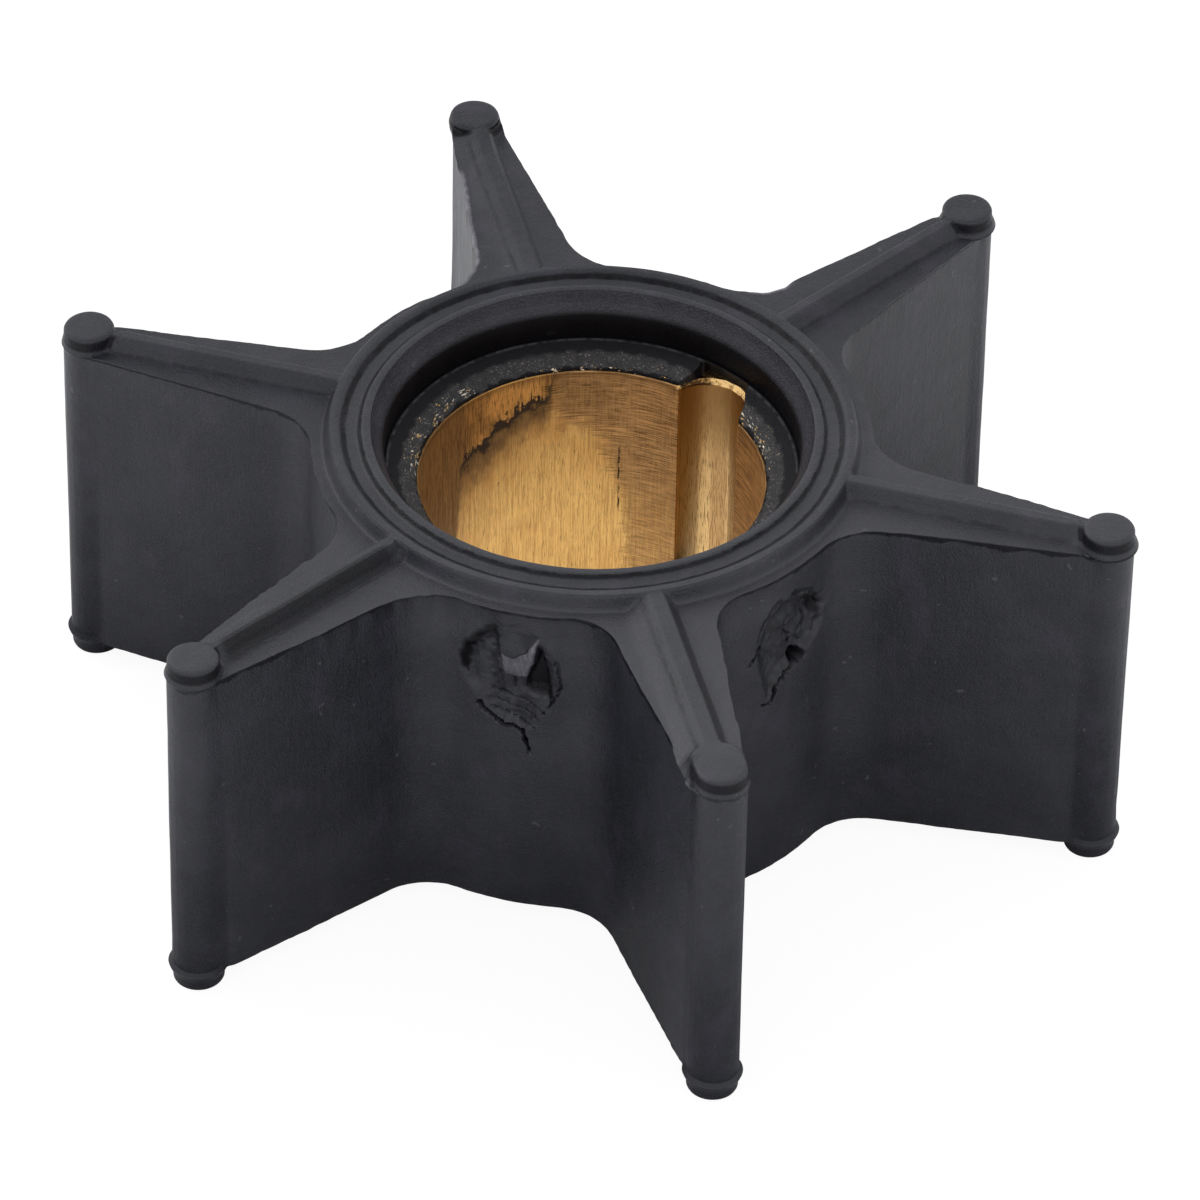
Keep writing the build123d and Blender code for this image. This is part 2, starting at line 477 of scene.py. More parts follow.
class UpperFace:
    """Triangles of the upper face over one sixth of the moulding, in plan."""

    STEPS = 80

    def __init__(self, m, look):
        self.along, self.outline, self.normals = vane_outline(m)
        self.lip = lip_reach(m, look, self.outline)
        rim = self.outline + self.normals * self.lip[:, None]
        half = math.radians(PITCH / 2)
        angles = np.linspace(half, -half, self.STEPS + 1)
        inner = m.channel_outer * np.stack([np.cos(angles), np.sin(angles)], 1)
        cut_radii = (17.6, 17.4, 17.2, 17.0, 16.84, 16.67, 16.5)
        out, back = (
            [r * np.array([math.cos(a), math.sin(a)]) for r in radii]
            for radii, a in ((cut_radii, half), (cut_radii[::-1], -half))
        )
        loop = np.concatenate([rim, out, inner, back])
        columns = np.arange(len(rim))
        rows, row_column, row_weight = [], [], []
        pad_u = m.hub_radius + m.vane_reach
        for depth, every in ((0.11, 1), (0.3, 1), (0.62, 2)):
            chosen = columns[2:-2:every]
            points = self.outline[chosen] - self.normals[chosen] * depth
            free = (np.hypot(points[:, 0] - pad_u, points[:, 1]) > 2.0) & (np.hypot(*points.T) > m.ring_foot + 0.2)
            rows.append(points[free])
            row_column.append(chosen[free])
            row_weight.append(np.full(free.sum(), 1.0 - depth / 1.1))
        features = []
        for radius in (17.36, 17.2, 17.1, 17.0, 16.92, 16.84, 16.74, 16.67, 16.6, 16.45):
            ring = radius * np.stack([np.cos(angles), np.sin(angles)], 1)[1:-1]
            features.append(ring[(np.abs(ring[:, 1]) > 1.0) | (radius < 16.7)])
        for radius in (*[r for r, _ in pad_section(m, look)[:-1]], 1.86, 2.0, 2.2):
            count = max(1, round(2 * math.pi * radius / 0.24)) if radius < 1.2 else 46
            around = np.linspace(0.0, 2 * math.pi, count, endpoint=False)
            features.append(np.stack([pad_u + radius * np.cos(around), radius * np.sin(around)], 1))
        for across in (0.0, 0.2, 0.31, 0.37, 0.44, 0.64, 0.84, 0.94, 1.05, 1.25):
            lengthwise = np.arange(16.8, pad_u - 1.6, 0.34)
            for side in {across, -across}:
                rib = np.stack([lengthwise, np.full_like(lengthwise, side)], 1)
                far = np.hypot(rib[:, 0] - pad_u, rib[:, 1]) > 2.28
                features.append(rib[far & (np.hypot(*rib.T) > (16.8 if across < 1.0 else 17.28))])
        filler = hexagonal((16.0, -5.0), (pad_u, 5.0), 0.5)
        away = (np.hypot(*filler.T) > 17.4) & (np.abs(filler[:, 1]) > 1.5)
        away &= np.hypot(filler[:, 0] - pad_u, filler[:, 1]) > 2.4
        away &= outline_distance(loop, filler) > 0.85
        features = np.concatenate(features)
        features = features[outline_distance(loop, features) > 0.07]
        inside = np.concatenate(rows + [features, filler[away]])
        self.plan = np.concatenate([loop, inside])
        self.column = np.full(len(self.plan), -1)
        self.weight = np.zeros(len(self.plan))
        self.column[: len(rim)], self.weight[: len(rim)] = columns, 1.0
        placed = np.concatenate(row_column)
        start = len(loop)
        self.column[start : start + len(placed)] = placed
        self.weight[start : start + len(placed)] = np.concatenate(row_weight)
        self.rim = len(rim)
        self.faces = fill_loop(loop, inside)
        self.height = upper_height(m, look, self.plan)


# Gate marks


class GateMark:
    """A torn gate mark on the hub wall, drawn as arc length from the pocket's middle and height."""

    def __init__(self, angle, outline, dents, tears, creases, seed):
        self.angle, self.outline, self.dents, self.tears, self.creases, self.seed = (
            angle, outline, dents, tears, creases, seed
        )

    def cut(self, place):
        """Depth in millimetres, and how freshly torn the rubber is, with painted light on the torn faces, and negative
        where shade is painted into the hollow, pits and cracks.
        """
        solid = np.column_stack([place, np.full(len(place), 1.7 * self.seed)])
        coarse, fine = ripple(solid, 1.3, self.seed), ripple(solid, 0.42, self.seed + 1)
        shift = np.column_stack([ripple(solid, 0.5, self.seed + 2), ripple(solid, 0.5, self.seed + 3)])
        wander = place + 0.09 * shift
        inside = outline_distance(self.outline, wander)
        depth = smoothstep(-0.05, 0.95, inside) * (0.42 + 0.14 * coarse) + smoothstep(0.0, 0.35, inside) * 0.045 * fine
        # Patchy painted shade over the mark's hollow
        torn_light_and_shade = -0.35 * smoothstep(0.0, 0.3, inside) * np.clip(0.4 + 1.5 * coarse + fine, 0.0, 1.0)
        # Dents and creases deepen the mark, each with its own strength of painted shade, darkest in the deep pits and
        # cracks
        for outline, floor, edge, shade in self.dents:
            dent = smoothstep(-edge, edge, outline_distance(outline, wander))
            depth = depth * (1.0 - dent) + dent * (floor + 0.03 * fine)
            torn_light_and_shade = torn_light_and_shade * (1.0 - dent) - shade * dent
        for track, width, floor, shade in self.creases:
            distance, share = track_distance(track, wander)
            rough = width * np.clip(0.8 + 0.6 * fine, 0.35, 1.3) * np.clip(1.15 - share**2, 0.3, 1.0)
            near = 1.0 - smoothstep(0.2, 1.0, distance / rough)
            depth, torn_light_and_shade = depth + near * floor, torn_light_and_shade - near * shade
        # Torn faces take the torn rubber's paler colour, lighter towards their tops as painted light where they face up
        # into the light
        for outline, top, bottom in self.tears:
            heights = np.array(outline)[:, 1]
            tear = smoothstep(-0.05, 0.08, outline_distance(outline, place + 0.04 * shift))
            share = np.clip((heights.max() - place[:, 1]) / np.ptp(heights), 0.0, 1.0)
            strands = ripple(solid * (1.0, 0.09, 1.0), 0.2, self.seed + 4)
            depth = depth * (1.0 - tear) + tear * (top + (bottom - top) * share + 0.05 * strands)
            torn_light_and_shade = torn_light_and_shade * (1.0 - tear) + tear * (1.0 - 0.55 * share**1.5)
        return depth, np.clip(torn_light_and_shade, -1.0, 1.0)


# Each gate mark: angle, outline, dents as outline, floor depth, soft edge and painted shade, torn faces as outline, top
# and bottom depth, creases as track, width, depth and painted shade, and a seed
GATE_MARKS = (
    GateMark(
        -120.0,
        [(-3.54, 20.98), (-3.15, 21.64), (-2.29, 22.57), (-1.2, 23.23), (-0.38, 23.55), (0.66, 23.53), (1.78, 23.04),
         (2.41, 22.54), (2.97, 21.5), (3.22, 20.51), (3.43, 19.1), (3.09, 18.35), (2.62, 17.99), (2.24, 17.11),
         (1.85, 16.02), (1.06, 15.46), (-0.4, 15.72), (-1.41, 16.55), (-1.96, 17.03), (-2.26, 17.8), (-3.04, 18.53),
         (-3.35, 19.42)],
        [([(-0.8, 23.7), (0.66, 23.9), (1.7, 23.0), (1.31, 22.25), (1.0, 21.68), (0.2, 21.09), (-0.28, 21.17),
           (-0.74, 21.45), (-0.87, 22.53)], 0.06, 0.18, 0.0),
         ([(0.5, 23.2), (1.75, 23.0), (1.35, 22.15), (0.9, 22.1)], 0.16, 0.3, 0.4),
         ([(-0.68, 19.6), (0.94, 19.74), (0.95, 18.41), (-0.59, 17.93)], 0.75, 0.25, 0.3),
         ([(1.87, 22.0), (1.62, 20.8), (1.1, 19.75), (1.03, 18.6), (1.67, 18.45), (2.5, 18.64), (2.48, 19.6),
           (2.28, 20.39), (2.11, 21.3)], 1.1, 0.22, 0.85)],
        [([(-0.82, 21.75), (-0.66, 20.78), (-0.52, 19.35), (0.38, 19.35), (1.02, 19.45), (1.36, 20.83), (1.6, 21.79),
           (1.86, 23.1), (1.31, 22.25), (1.0, 21.75), (0.2, 21.16), (-0.36, 21.2)], 0.02, 0.6)],
        [([(-1.2, 23.15), (-2.03, 22.4), (-2.85, 21.4), (-3.1, 20.44), (-3.0, 19.6), (-2.8, 19.2)], 0.75, 0.12, 0.75),
         ([(-1.02, 21.6), (-1.1, 20.43), (-1.05, 19.22), (-0.75, 18.08)], 0.45, 0.08, 0.3),
         ([(3.0, 21.3), (3.15, 20.3), (3.25, 19.3), (2.95, 18.5)], 0.24, 0.15, 0.4),
         ([(2.45, 18.55), (2.8, 18.3), (2.5, 17.6), (2.2, 17.1)], 0.2, 0.2, 0.6),
         ([(0.1, 19.6), (0.15, 18.9), (0.05, 18.3)], 0.18, 0.1, 0.5),
         ([(-1.17, 18.16), (-0.18, 17.94), (1.04, 17.71), (2.16, 17.2)], 0.16, 0.12, 0.35),
         ([(-1.41, 17.47), (-0.17, 17.22), (1.05, 16.9), (2.0, 16.46)], 0.16, 0.12, 0.35),
         ([(-1.24, 16.91), (-0.16, 16.51), (1.05, 16.08), (1.69, 15.89)], 0.16, 0.12, 0.35),
         ([(-1.96, 17.03), (-1.7, 16.76), (-1.41, 16.5), (-0.99, 16.27), (-0.4, 15.75), (0.25, 15.79), (1.06, 15.46)],
          0.26, 0.45, 0.95),
         ([(0.95, 15.55), (1.1, 14.85), (1.27, 14.27), (1.4, 13.78), (1.64, 13.31)], 0.17, 0.4, 0.9)],
        3,
    ),
    GateMark(
        -60.0,
        [(2.03, 22.51), (0.46, 23.03), (-0.55, 22.93), (-1.22, 22.53), (-1.94, 21.76), (-2.37, 20.72), (-2.57, 19.96),
         (-2.59, 19.2), (-2.27, 17.8), (-1.95, 16.49), (-1.63, 15.36), (-1.06, 15.35), (-0.59, 15.96), (-0.01, 16.79),
         (1.14, 17.07), (1.69, 17.41), (2.61, 17.88), (3.45, 18.67), (3.68, 19.28), (3.36, 20.36), (2.8, 21.5)],
        [([(1.22, 20.49), (2.62, 20.08), (3.36, 20.36), (3.06, 21.23), (1.85, 21.43), (1.18, 21.27)], 0.6, 0.45, 0.4),
         ([(0.66, 18.33), (1.33, 17.92), (1.69, 17.41), (1.37, 16.93), (0.7, 17.29), (0.47, 17.87)], 1.0, 0.16, 0.95)],
        [],
        [([(1.35, 17.43), (0.51, 16.88), (-0.01, 16.74), (-0.5, 16.25), (-0.79, 15.97), (-0.96, 15.39), (-1.34, 15.01),
           (-1.91, 15.11)], 0.28, 0.4, 0.95),
         ([(-2.45, 19.5), (-3.11, 18.68)], 0.2, 0.25, 0.7),
         ([(0.5, 18.98), (0.56, 18.8)], 0.2, 0.3, 0.9), ([(-2.1, 19.8), (-2.02, 19.5)], 0.18, 0.3, 0.9),
         ([(-0.55, 22.9), (-1.22, 22.45), (-1.9, 21.7), (-2.3, 20.72), (-2.45, 19.96)], 0.35, 0.12, 0.45),
         ([(0.46, 22.95), (2.03, 22.4), (2.75, 21.4), (3.3, 20.36)], 0.4, 0.15, 0.5),
         ([(1.9, 21.9), (2.6, 21.0), (3.0, 20.1), (3.1, 19.4), (2.6, 18.6)], 0.6, 0.08, 0.55),
         ([(1.9, 20.6), (2.1, 19.8), (1.9, 19.2)], 0.3, 0.12, 0.5),
         ([(0.4, 20.9), (0.1, 19.9), (0.7, 19.3)], 0.2, 0.1, 0.35), ([(-1.2, 21.5), (-1.5, 20.6)], 0.2, 0.1, 0.35),
         ([(1.9, 19.7), (1.2, 19.0), (1.6, 18.3)], 0.2, 0.1, 0.35)],
        8,
    ),
)


# Moulding


def drift(points):
    """Slight unevenness of the moulding, in millimetres, at each point."""
    return np.stack([0.035 * ripple(points, 5.0, 51) + 0.012 * ripple(points, 1.4, 52),
                     0.035 * ripple(points, 5.0, 53) + 0.012 * ripple(points, 1.4, 54),
                     0.030 * ripple(points, 4.0, 55) + 0.012 * ripple(points, 1.3, 56)], 1)


def ring_section(m):
    """Section from the channel's outer edge over the inner bead and down the counterbore to the end skin."""
    high = TOP - m.pad_rise + m.ring_rise
    floor = high - m.channel_depth
    low = high - m.chamfer_depth
    ledge = BUSH_TOP + m.skin_outer
    return [
        (m.channel_outer, high), (m.channel_outer - 0.11, high - 0.02), (m.channel_outer - 0.22, high - 0.08),
        (m.channel_outer - 0.58, floor + 0.07), (m.channel_outer - 0.68, floor + 0.01), (m.channel_outer - 0.8, floor),
        (m.channel_inner + 0.52, floor), (m.channel_inner + 0.4, floor + 0.02), (m.channel_inner + 0.3, floor + 0.09),
        (m.channel_inner + 0.1, high - 0.07), (m.channel_inner + 0.03, high - 0.02), (m.channel_inner - 0.05, high),
        (m.ring_inner + 0.10, high), (m.ring_inner + 0.01, high - 0.04), (m.ring_inner - 0.03, high - 0.2),
        ((m.ring_inner + m.counterbore) / 2, (high + low) / 2), (m.counterbore + 0.05, low + 0.04),
        (m.counterbore, low - 0.05), (m.counterbore, (low + ledge) / 2), (m.counterbore, ledge - 0.12),
        (m.counterbore - 0.04, ledge - 0.14), (m.counterbore - 0.08, ledge + 0.0), (m.counterbore - 0.15, ledge - 0.02),
    ]


def skin_edge(m, b, angles):
    """Radius of the end skin's torn edge at each angle."""
    ring = np.stack([np.cos(angles), np.sin(angles), np.zeros_like(angles)], 1) * m.skin_radius
    torn = m.skin_radius + 0.03 * ripple(ring, 3.0, 61) + 0.05 * np.maximum(ripple(ring, 0.5, 62), -0.3)
    away = (angles - b.keyway_angle + math.pi) % (2 * math.pi) - math.pi
    rim = (b.keyway + 0.06) ** 2 - (b.keyway_centre * np.sin(away)) ** 2
    rim = b.keyway_centre * np.cos(away) + np.sqrt(np.maximum(rim, 0.0))
    rim = rim - 0.24 * (away < 0.0)
    torn = np.where(np.abs(away) < math.radians(14.5), np.maximum(torn, rim + 0.08 * ripple(ring, 0.4, 63)), torn)
    torn += 0.14 * np.maximum(ripple(ring, 0.35, 65), -0.2) * smoothstep(-0.62, -0.5, away) * (away < 0.0)
    # The skin has broken away beyond the keyway, into the counterbore's wall
    degrees = away * DEGREES
    bare = smoothstep(-6.4, -5.8, degrees) * (1.0 - smoothstep(10.4, 11.2, degrees))
    return torn + (m.counterbore + 0.32 + 0.05 * ripple(ring, 0.6, 64) - torn) * bare, bare


def add_hollow(shell, m, b, above):
    """Adds the ring's channel, the counterbore and the end skin of one end, and returns the seat's rows."""
    angles = np.radians(np.arange(VANES * UpperFace.STEPS) * PITCH / UpperFace.STEPS + FIRST_VANE - PITCH / 2)
    around = np.stack([np.cos(angles), np.sin(angles)], 1)
    section = ring_section(m)
    edge, bare = skin_edge(m, b, angles)
    outer = m.counterbore - 0.15
    ledge = BUSH_TOP + m.skin_outer - 0.02
    rows = [np.column_stack([around * r, np.full(len(around), z)]) for r, z in section]
    for share in (0.12, 0.3, 0.5, 0.7, 0.88, 0.97, 1.0):
        radius = outer + (edge - outer) * share
        rise = np.clip((radius - m.skin_radius) / (m.counterbore - 0.15 - m.skin_radius), 0.0, 1.0) ** 0.85
        height = BUSH_TOP + m.skin_inner + (ledge - BUSH_TOP - m.skin_inner) * rise - 0.06 * (share == 1.0)
        height = np.where(bare > 0.5, ledge - (ledge - BUSH_TOP - 0.03) * share, height)
        rows.append(np.column_stack([around * radius[:, None], height]))
    rows.append(np.column_stack([around * edge[:, None], np.full(len(around), BUSH_TOP)]))
    rows.append(np.column_stack([around * SEAT_RADIUS, np.full(len(around), BUSH_TOP)]))
    rows = np.array(rows)
    skin = len(section) - 1
    moved = drift(rows[:-2].reshape(-1, 3)).reshape(rows[:-2].shape)
    freedom = np.ones(len(rows) - 2)
    freedom[skin:] = np.linspace(0.8, 0.0, len(freedom) - skin)
    rows[:-2] += moved * freedom[:, None, None]
    if not above:
        rows[..., 2] = TOP - rows[..., 2]
        rows = rows[:, ::-1]
    numbers = shell.add(rows)
    shell.quads(numbers[: skin + 1], closed=True)
    shell.quads(numbers[skin:-1], slot=1, closed=True)
    shell.quads(numbers[-2:], closed=True)
    return numbers[-1] if above else numbers[-1][::-1]


def add_star(shell, m):
    """Adds both faces and the walls of the star."""
    upper_faces, lower_face = [UpperFace(m, look) for look in UPPER_VANES], UpperFace(m, PLAIN_VANE)
    fine = len(lower_face.along)
    coarse = np.arange(0, fine, 3)
    fall = np.array([0.0, 0.06, 0.13, 0.22, 0.36, 0.62, 1.0])
    fin_fall = np.array([1.0, 0.9, 0.35, 0.0, 0.0, 0.0, 0.0])
    shelf = 24.2
    levels = np.array([shelf, 23.0, 21.6, 20.2, 18.8, 17.4, 16.0, 14.6, MIDDLE])
    levels = np.concatenate([levels, TOP - levels[-2::-1]])
    for above in (True, False):
        for vane in range(VANES):
            face, look = (upper_faces[vane], UPPER_VANES[vane]) if above else (lower_face, PLAIN_VANE)
            top_z = face.height[: face.rim]
            angle = math.radians(FIRST_VANE + vane * PITCH)
            plan, normals = turned(face.plan, angle), turned(face.normals, angle)
            outline = turned(face.outline, angle)
            reach = flash_reach(m, look, face.outline, outline, vane, above)
            tight = tightened(np.column_stack([outline, np.full(fine, shelf)])) if above else np.zeros(fine)
            shifted = face.column >= 0
            column = face.column[shifted]
            plan[shifted] += normals[column] * ((reach - tight)[column] * face.weight[shifted])[:, None]
            points = np.column_stack([plan, face.height])
            torn_and_flank_shade = np.zeros(len(points))
            torn_and_flank_shade[shifted] = np.clip(-4.0 * reach[column], 0.0, 1.0) * (face.weight[shifted] > 0.8)
            # Painted shade on the rib's shaded flank, carried as a negative torn number
            if look.groove:
                start, end, shade = look.groove
                u, v = face.plan.T
                beside = smoothstep(start, start + 0.15, v) * (1.0 - smoothstep(end - 0.15, end, v))
                torn_and_flank_shade -= shade * beside * smoothstep(17.2, 17.9, u) * (1.0 - smoothstep(30.9, 31.6, u))
            points += drift(points)
            points[:, 2] = np.minimum(points[:, 2], TOP)
            out, back = np.maximum(reach, 0.0), np.minimum(reach, 0.0)
            strip = []
            for share, fin_share in zip(fall, fin_fall):
                lip = face.lip * max(0.0, 1.0 - share / 0.36)
                fin = out * fin_share + back * (1.0 - smoothstep(0.0, 1.0, share))
                row = outline + normals * (lip + fin - tight)[:, None]
                row = np.column_stack([row, top_z + (shelf - top_z) * share])
                if above:
                    row[:, :2] -= normals * undercut(np.column_stack([outline, row[:, 2]]))[:, None]
                strip.append(row + drift(row))
            strip = np.array(strip)
            if not above:
                points[:, 2] = TOP - points[:, 2]
                strip[..., 2] = TOP - strip[..., 2]
            numbers = shell.add(points, torn_and_flank_shade)
            shell.triangles(numbers[face.faces].tolist())
            wall_torn = np.clip(-4.0 * back, 0.0, 1.0) * (1.0 - fall)[:, None] ** 0.5
            shell.quads(shell.add(strip, wall_torn))
            if above:
                add_wall(shell, face, outline, normals, strip[-1], levels, coarse, angle)
            else:
                base = np.column_stack([outline, np.full(fine, levels[-2])])[coarse]
                join_rows(shell, shell.add(strip[-1]), shell.add(base + drift(base)))


# Stretches where the wall lies back under the land's edge: angle, radius, half length along the wall, depth, height
UNDERCUTS = (
    (-134.0, 18.9, 5.0, 0.42, 3.4),
    (-141.0, 24.5, 4.5, 0.20, 3.4),
    (-112.0, 17.8, 3.5, 0.22, 3.4),
    (-72.0, 17.9, 4.0, 0.25, 3.4),
    (-79.5, 21.5, 4.5, 0.30, 4.5),
    (99.1, 20.25, 3.6, 0.22, 21.0),
    (97.4, 24.2, 3.6, 0.22, 21.0),
    (95.9, 28.15, 3.6, 0.24, 21.0),
    (94.9, 31.6, 3.6, 0.26, 21.0),
    (94.4, 33.7, 3.2, 0.24, 21.0),
)
# Root fillets that are tighter towards the land, in the same terms
TIGHT_ROOTS = (
    (-105.5, 19.3, 3.4, 0.38),
    (-74.5, 19.3, 3.2, 0.20),
)


def from_spot(points, degrees, radius):
    """Distance in plan from a spot on the wall."""
    turn = math.radians(degrees)
    return np.hypot(points[:, 0] - radius * math.cos(turn), points[:, 1] - radius * math.sin(turn))


def tightened(points):
    """How far the land's edge and the wall below it lie back where a root fillet is tighter."""
    depth = np.zeros(len(points))
    for degrees, radius, reach, most in TIGHT_ROOTS:
        depth = np.maximum(depth, most * (1.0 - smoothstep(0.0, reach, from_spot(points, degrees, radius))))
    return depth * smoothstep(11.0, 19.0, points[:, 2])


def undercut(points):
    """How far the wall lies back under the overhanging edge of the land, with upright wrinkles."""
    depth = np.zeros(len(points))
    below = LAND - points[:, 2]
    for degrees, radius, reach, most, height in UNDERCUTS:
        share = 1.0 - smoothstep(0.4 * reach, reach, from_spot(points, degrees, radius))
        depth = np.maximum(depth, most * share * (1.0 - smoothstep(0.35 * height, height, below)))
    upright = points * (1.0, 1.0, 0.12)
    return depth * smoothstep(0.08, 0.42, below) * (1.0 + 0.35 * ripple(upright, 0.8, 71))


def join_rows(shell, fine, coarse):
    """Faces between a row of points and a row with a third as many."""
    for i in range(len(coarse) - 1):
        a, b, c, d = fine[3 * i : 3 * i + 4]
        near, far = coarse[i : i + 2]
        shell.triangles([(a, near, b), (b, near, far), (b, far, c), (c, far, d)])


def add_wall(shell, face, outline, normals, upper_row, levels, coarse, angle):
    """Adds the wall round one vane, with the halves of the gate marks that lie in its sector."""
    rows = []
    for level in levels:
        row = np.column_stack([outline[coarse], np.full(len(coarse), level)])
        row[:, :2] -= normals[coarse] * (undercut(row) + tightened(row))[:, None]
        rows.append(row + drift(row))
    numbers = shell.add(np.array(rows))
    marks = {}
    for mark in GATE_MARKS:
        middle = math.degrees(angle)
        for side, end in ((PITCH / 2, len(coarse) - 1), (-PITCH / 2, 0)):
            if abs((middle + side - mark.angle + 180) % 360 - 180) < 1.0:
                marks[end] = mark
    # A marked stretch is nine columns wide, and nine rows deep under the first
    width = last = 9
    fine_row = shell.add(upper_row)
    start = width if 0 in marks else 0
    stop = len(coarse) - 1 - width if len(coarse) - 1 in marks else len(coarse) - 1
    join_rows(shell, fine_row[3 * start : 3 * stop + 1], numbers[1, start : stop + 1])
    shell.quads(numbers[1 : last + 1, start : stop + 1])
    shell.quads(numbers[last:-1])
    for end, mark in marks.items():
        low, high = (0, width) if end == 0 else (len(coarse) - 1 - width, len(coarse) - 1)
        add_mark(shell, face, outline, normals, levels[: last + 1], low, high, coarse, mark)


def add_mark(shell, face, outline, normals, levels, low, high, coarse, mark):
    """Adds a finely meshed stretch of the wall with its share of a gate mark."""
    along = face.along
    centre = 0.0 if low == 0 else along[-1]
    top = [(along[i] - centre, levels[0]) for i in range(coarse[low], coarse[high] + 1)]
    right = [(along[coarse[high]] - centre, z) for z in levels[1:-1]]
    left = [(along[coarse[low]] - centre, z) for z in levels[1:-1][::-1]]
    bottom = [(along[coarse[i]] - centre, levels[-1]) for i in range(high, low - 1, -1)]
    cut = [(0.0, z) for z in np.arange(levels[-1] + 0.15, levels[0] - 0.05, 0.15)]
    if low != 0:
        right = cut[::-1]
    else:
        left = cut
    loop = np.array(top + right + bottom + left)
    box = (loop.min(0), loop.max(0))
    dense = hexagonal(*box, 0.125)
    loose = hexagonal(*box, 0.5)
    near = outline_distance(mark.outline, dense) > -0.45
    for track, *_ in mark.creases:
        near |= track_distance(track, dense)[0] < 0.5
    spread = outline_distance(mark.outline, loose) < -0.7
    for track, *_ in mark.creases:
        spread &= track_distance(track, loose)[0] > 0.7
    inner = np.concatenate([dense[near], loose[spread]])
    inner = inner[outline_distance(loop, inner) > 0.07]
    place = np.concatenate([loop, inner])
    at = place[:, 0] + centre
    plan = np.stack([np.interp(at, along, outline[:, i]) for i in (0, 1)], 1)
    outward = np.stack([np.interp(at, along, normals[:, i]) for i in (0, 1)], 1)
    points = np.column_stack([plan, place[:, 1]])
    points[:, :2] -= outward * (undercut(points) + tightened(points))[:, None]
    points += drift(points)
    # The mark's torn number: torn rubber with painted light where positive, painted shade where negative
    depth, bright = mark.cut(place)
    reach = np.abs(box[1][0] if low == 0 else box[0][0])
    inside_window = smoothstep(levels[-1], levels[-1] + 0.8, place[:, 1])
    inside_window = inside_window * smoothstep(0.0, 0.5, levels[0] - place[:, 1])
    inside_window = inside_window * smoothstep(0.0, 0.6, reach - np.abs(place[:, 0]))
    points[:, :2] -= outward * (depth * inside_window)[:, None]
    numbers = shell.add(points, bright * inside_window)
    shell.triangles(numbers[fill_loop(loop, inner)].tolist())


# Bush


def bush_plan(b, spacing):
    """Points and normals towards the bore, round the bore and its keyway, counter-clockwise."""
    half = math.acos((b.keyway_centre**2 + b.bore**2 - b.keyway**2) / (2 * b.keyway_centre * b.bore))
    around = np.linspace(half, 2 * math.pi - half, math.ceil((2 * math.pi - 2 * half) * b.bore / spacing))
    bore = np.stack([np.cos(around), np.sin(around)], 1)
    corner = math.atan2(b.bore * math.sin(half), b.bore * math.cos(half) - b.keyway_centre)
    sweep = np.linspace(-corner, corner, math.ceil(2 * corner * b.keyway / spacing * 1.8))[1:-1]
    key = np.stack([np.cos(sweep), np.sin(sweep)], 1)
    points = np.concatenate([b.bore * bore, np.array([b.keyway_centre, 0.0]) + b.keyway * key])
    facing = np.concatenate([around, np.linspace(-half, half, len(sweep) + 2)[1:-1]])
    outer = SEAT_RADIUS * np.stack([np.cos(facing), np.sin(facing)], 1)
    return (turned(x, b.keyway_angle) for x in (points, -np.concatenate([bore, key]), outer))


def add_bush(shell, b):
    """Adds the bush: bore and keyway with broken edges, ends and outer wall."""
    inner, facing, outer = bush_plan(b, 0.2)
    low, high = TOP - BUSH_TOP, BUSH_TOP
    from_key = np.hypot(*(inner - b.keyway_centre * np.array([math.cos(b.keyway_angle), math.sin(b.keyway_angle)])).T)
    worn = 1.0 - smoothstep(b.keyway + 0.02, b.keyway + 0.35, from_key)
    ragged = np.clip(0.85 + 0.5 * ripple(np.column_stack([inner, np.zeros(len(inner))]), 0.7, 81), 0.3, 1.3)
    chamfer = b.edge_break + (b.key_break - b.edge_break) * worn * ragged
    opened = inner - facing * chamfer[:, None]
    rows = [(outer, low), (outer, high), (opened, high), (inner, high - chamfer)]
    rows += [(inner, z) for z in np.linspace(high - 1.0, low + 1.0, 12)]
    rows += [(inner, low + chamfer), (opened, low), (outer, low)]
    shell.quads(shell.add([np.column_stack([plan, np.full(len(plan), z)]) for plan, z in rows]), closed=True)


# Shader helpers


class Field:
    """A value worked out in a material. Arithmetic on it adds Math nodes."""

    def __init__(self, tree, socket):
        self.tree, self.socket = tree, socket

    def __add__(self, other):
        return maths("ADD", self, other)

    def __sub__(self, other):
        return maths("SUBTRACT", self, other)

    def __rsub__(self, other):
        return maths("SUBTRACT", other, self)

    def __mul__(self, other):
        return maths("MULTIPLY", self, other)

    def __truediv__(self, other):
        return maths("DIVIDE", self, other)

    def __rtruediv__(self, other):
        return maths("DIVIDE", other, self)

    def __lt__(self, other):
        return maths("LESS_THAN", self, other)

    def __gt__(self, other):
        return maths("GREATER_THAN", self, other)

    def __abs__(self):
        return maths("ABSOLUTE", self)


def give(tree, socket, value):
    """Links a field to a socket, or sets the socket's constant."""
    if isinstance(value, Field):
        tree.links.new(value.socket, socket)
    else:
        socket.default_value = value


def node(tree, kind, sockets=None, **settings):
    """A new node with its settings made and its sockets given fields or constants."""
    made = tree.nodes.new(kind)
    for name, value in settings.items():
        setattr(made, name, value)
    for name, value in (sockets or {}).items():
        give(tree, made.inputs[name], value)
    return made


def field(tree, kind, output, sockets=None, **settings):
    """One output of a new node."""
    return Field(tree, node(tree, kind, sockets, **settings).outputs[output])


def maths(operation, *values, clamp=False):
    """A Math node's result."""
    tree = next(value.tree for value in values if isinstance(value, Field))
    return field(tree, "ShaderNodeMath", 0, dict(enumerate(values)), operation=operation, use_clamp=clamp)


def largest(first, *others):
    """The largest of some values."""
    for other in others:
        first = maths("MAXIMUM", first, other)
    return first


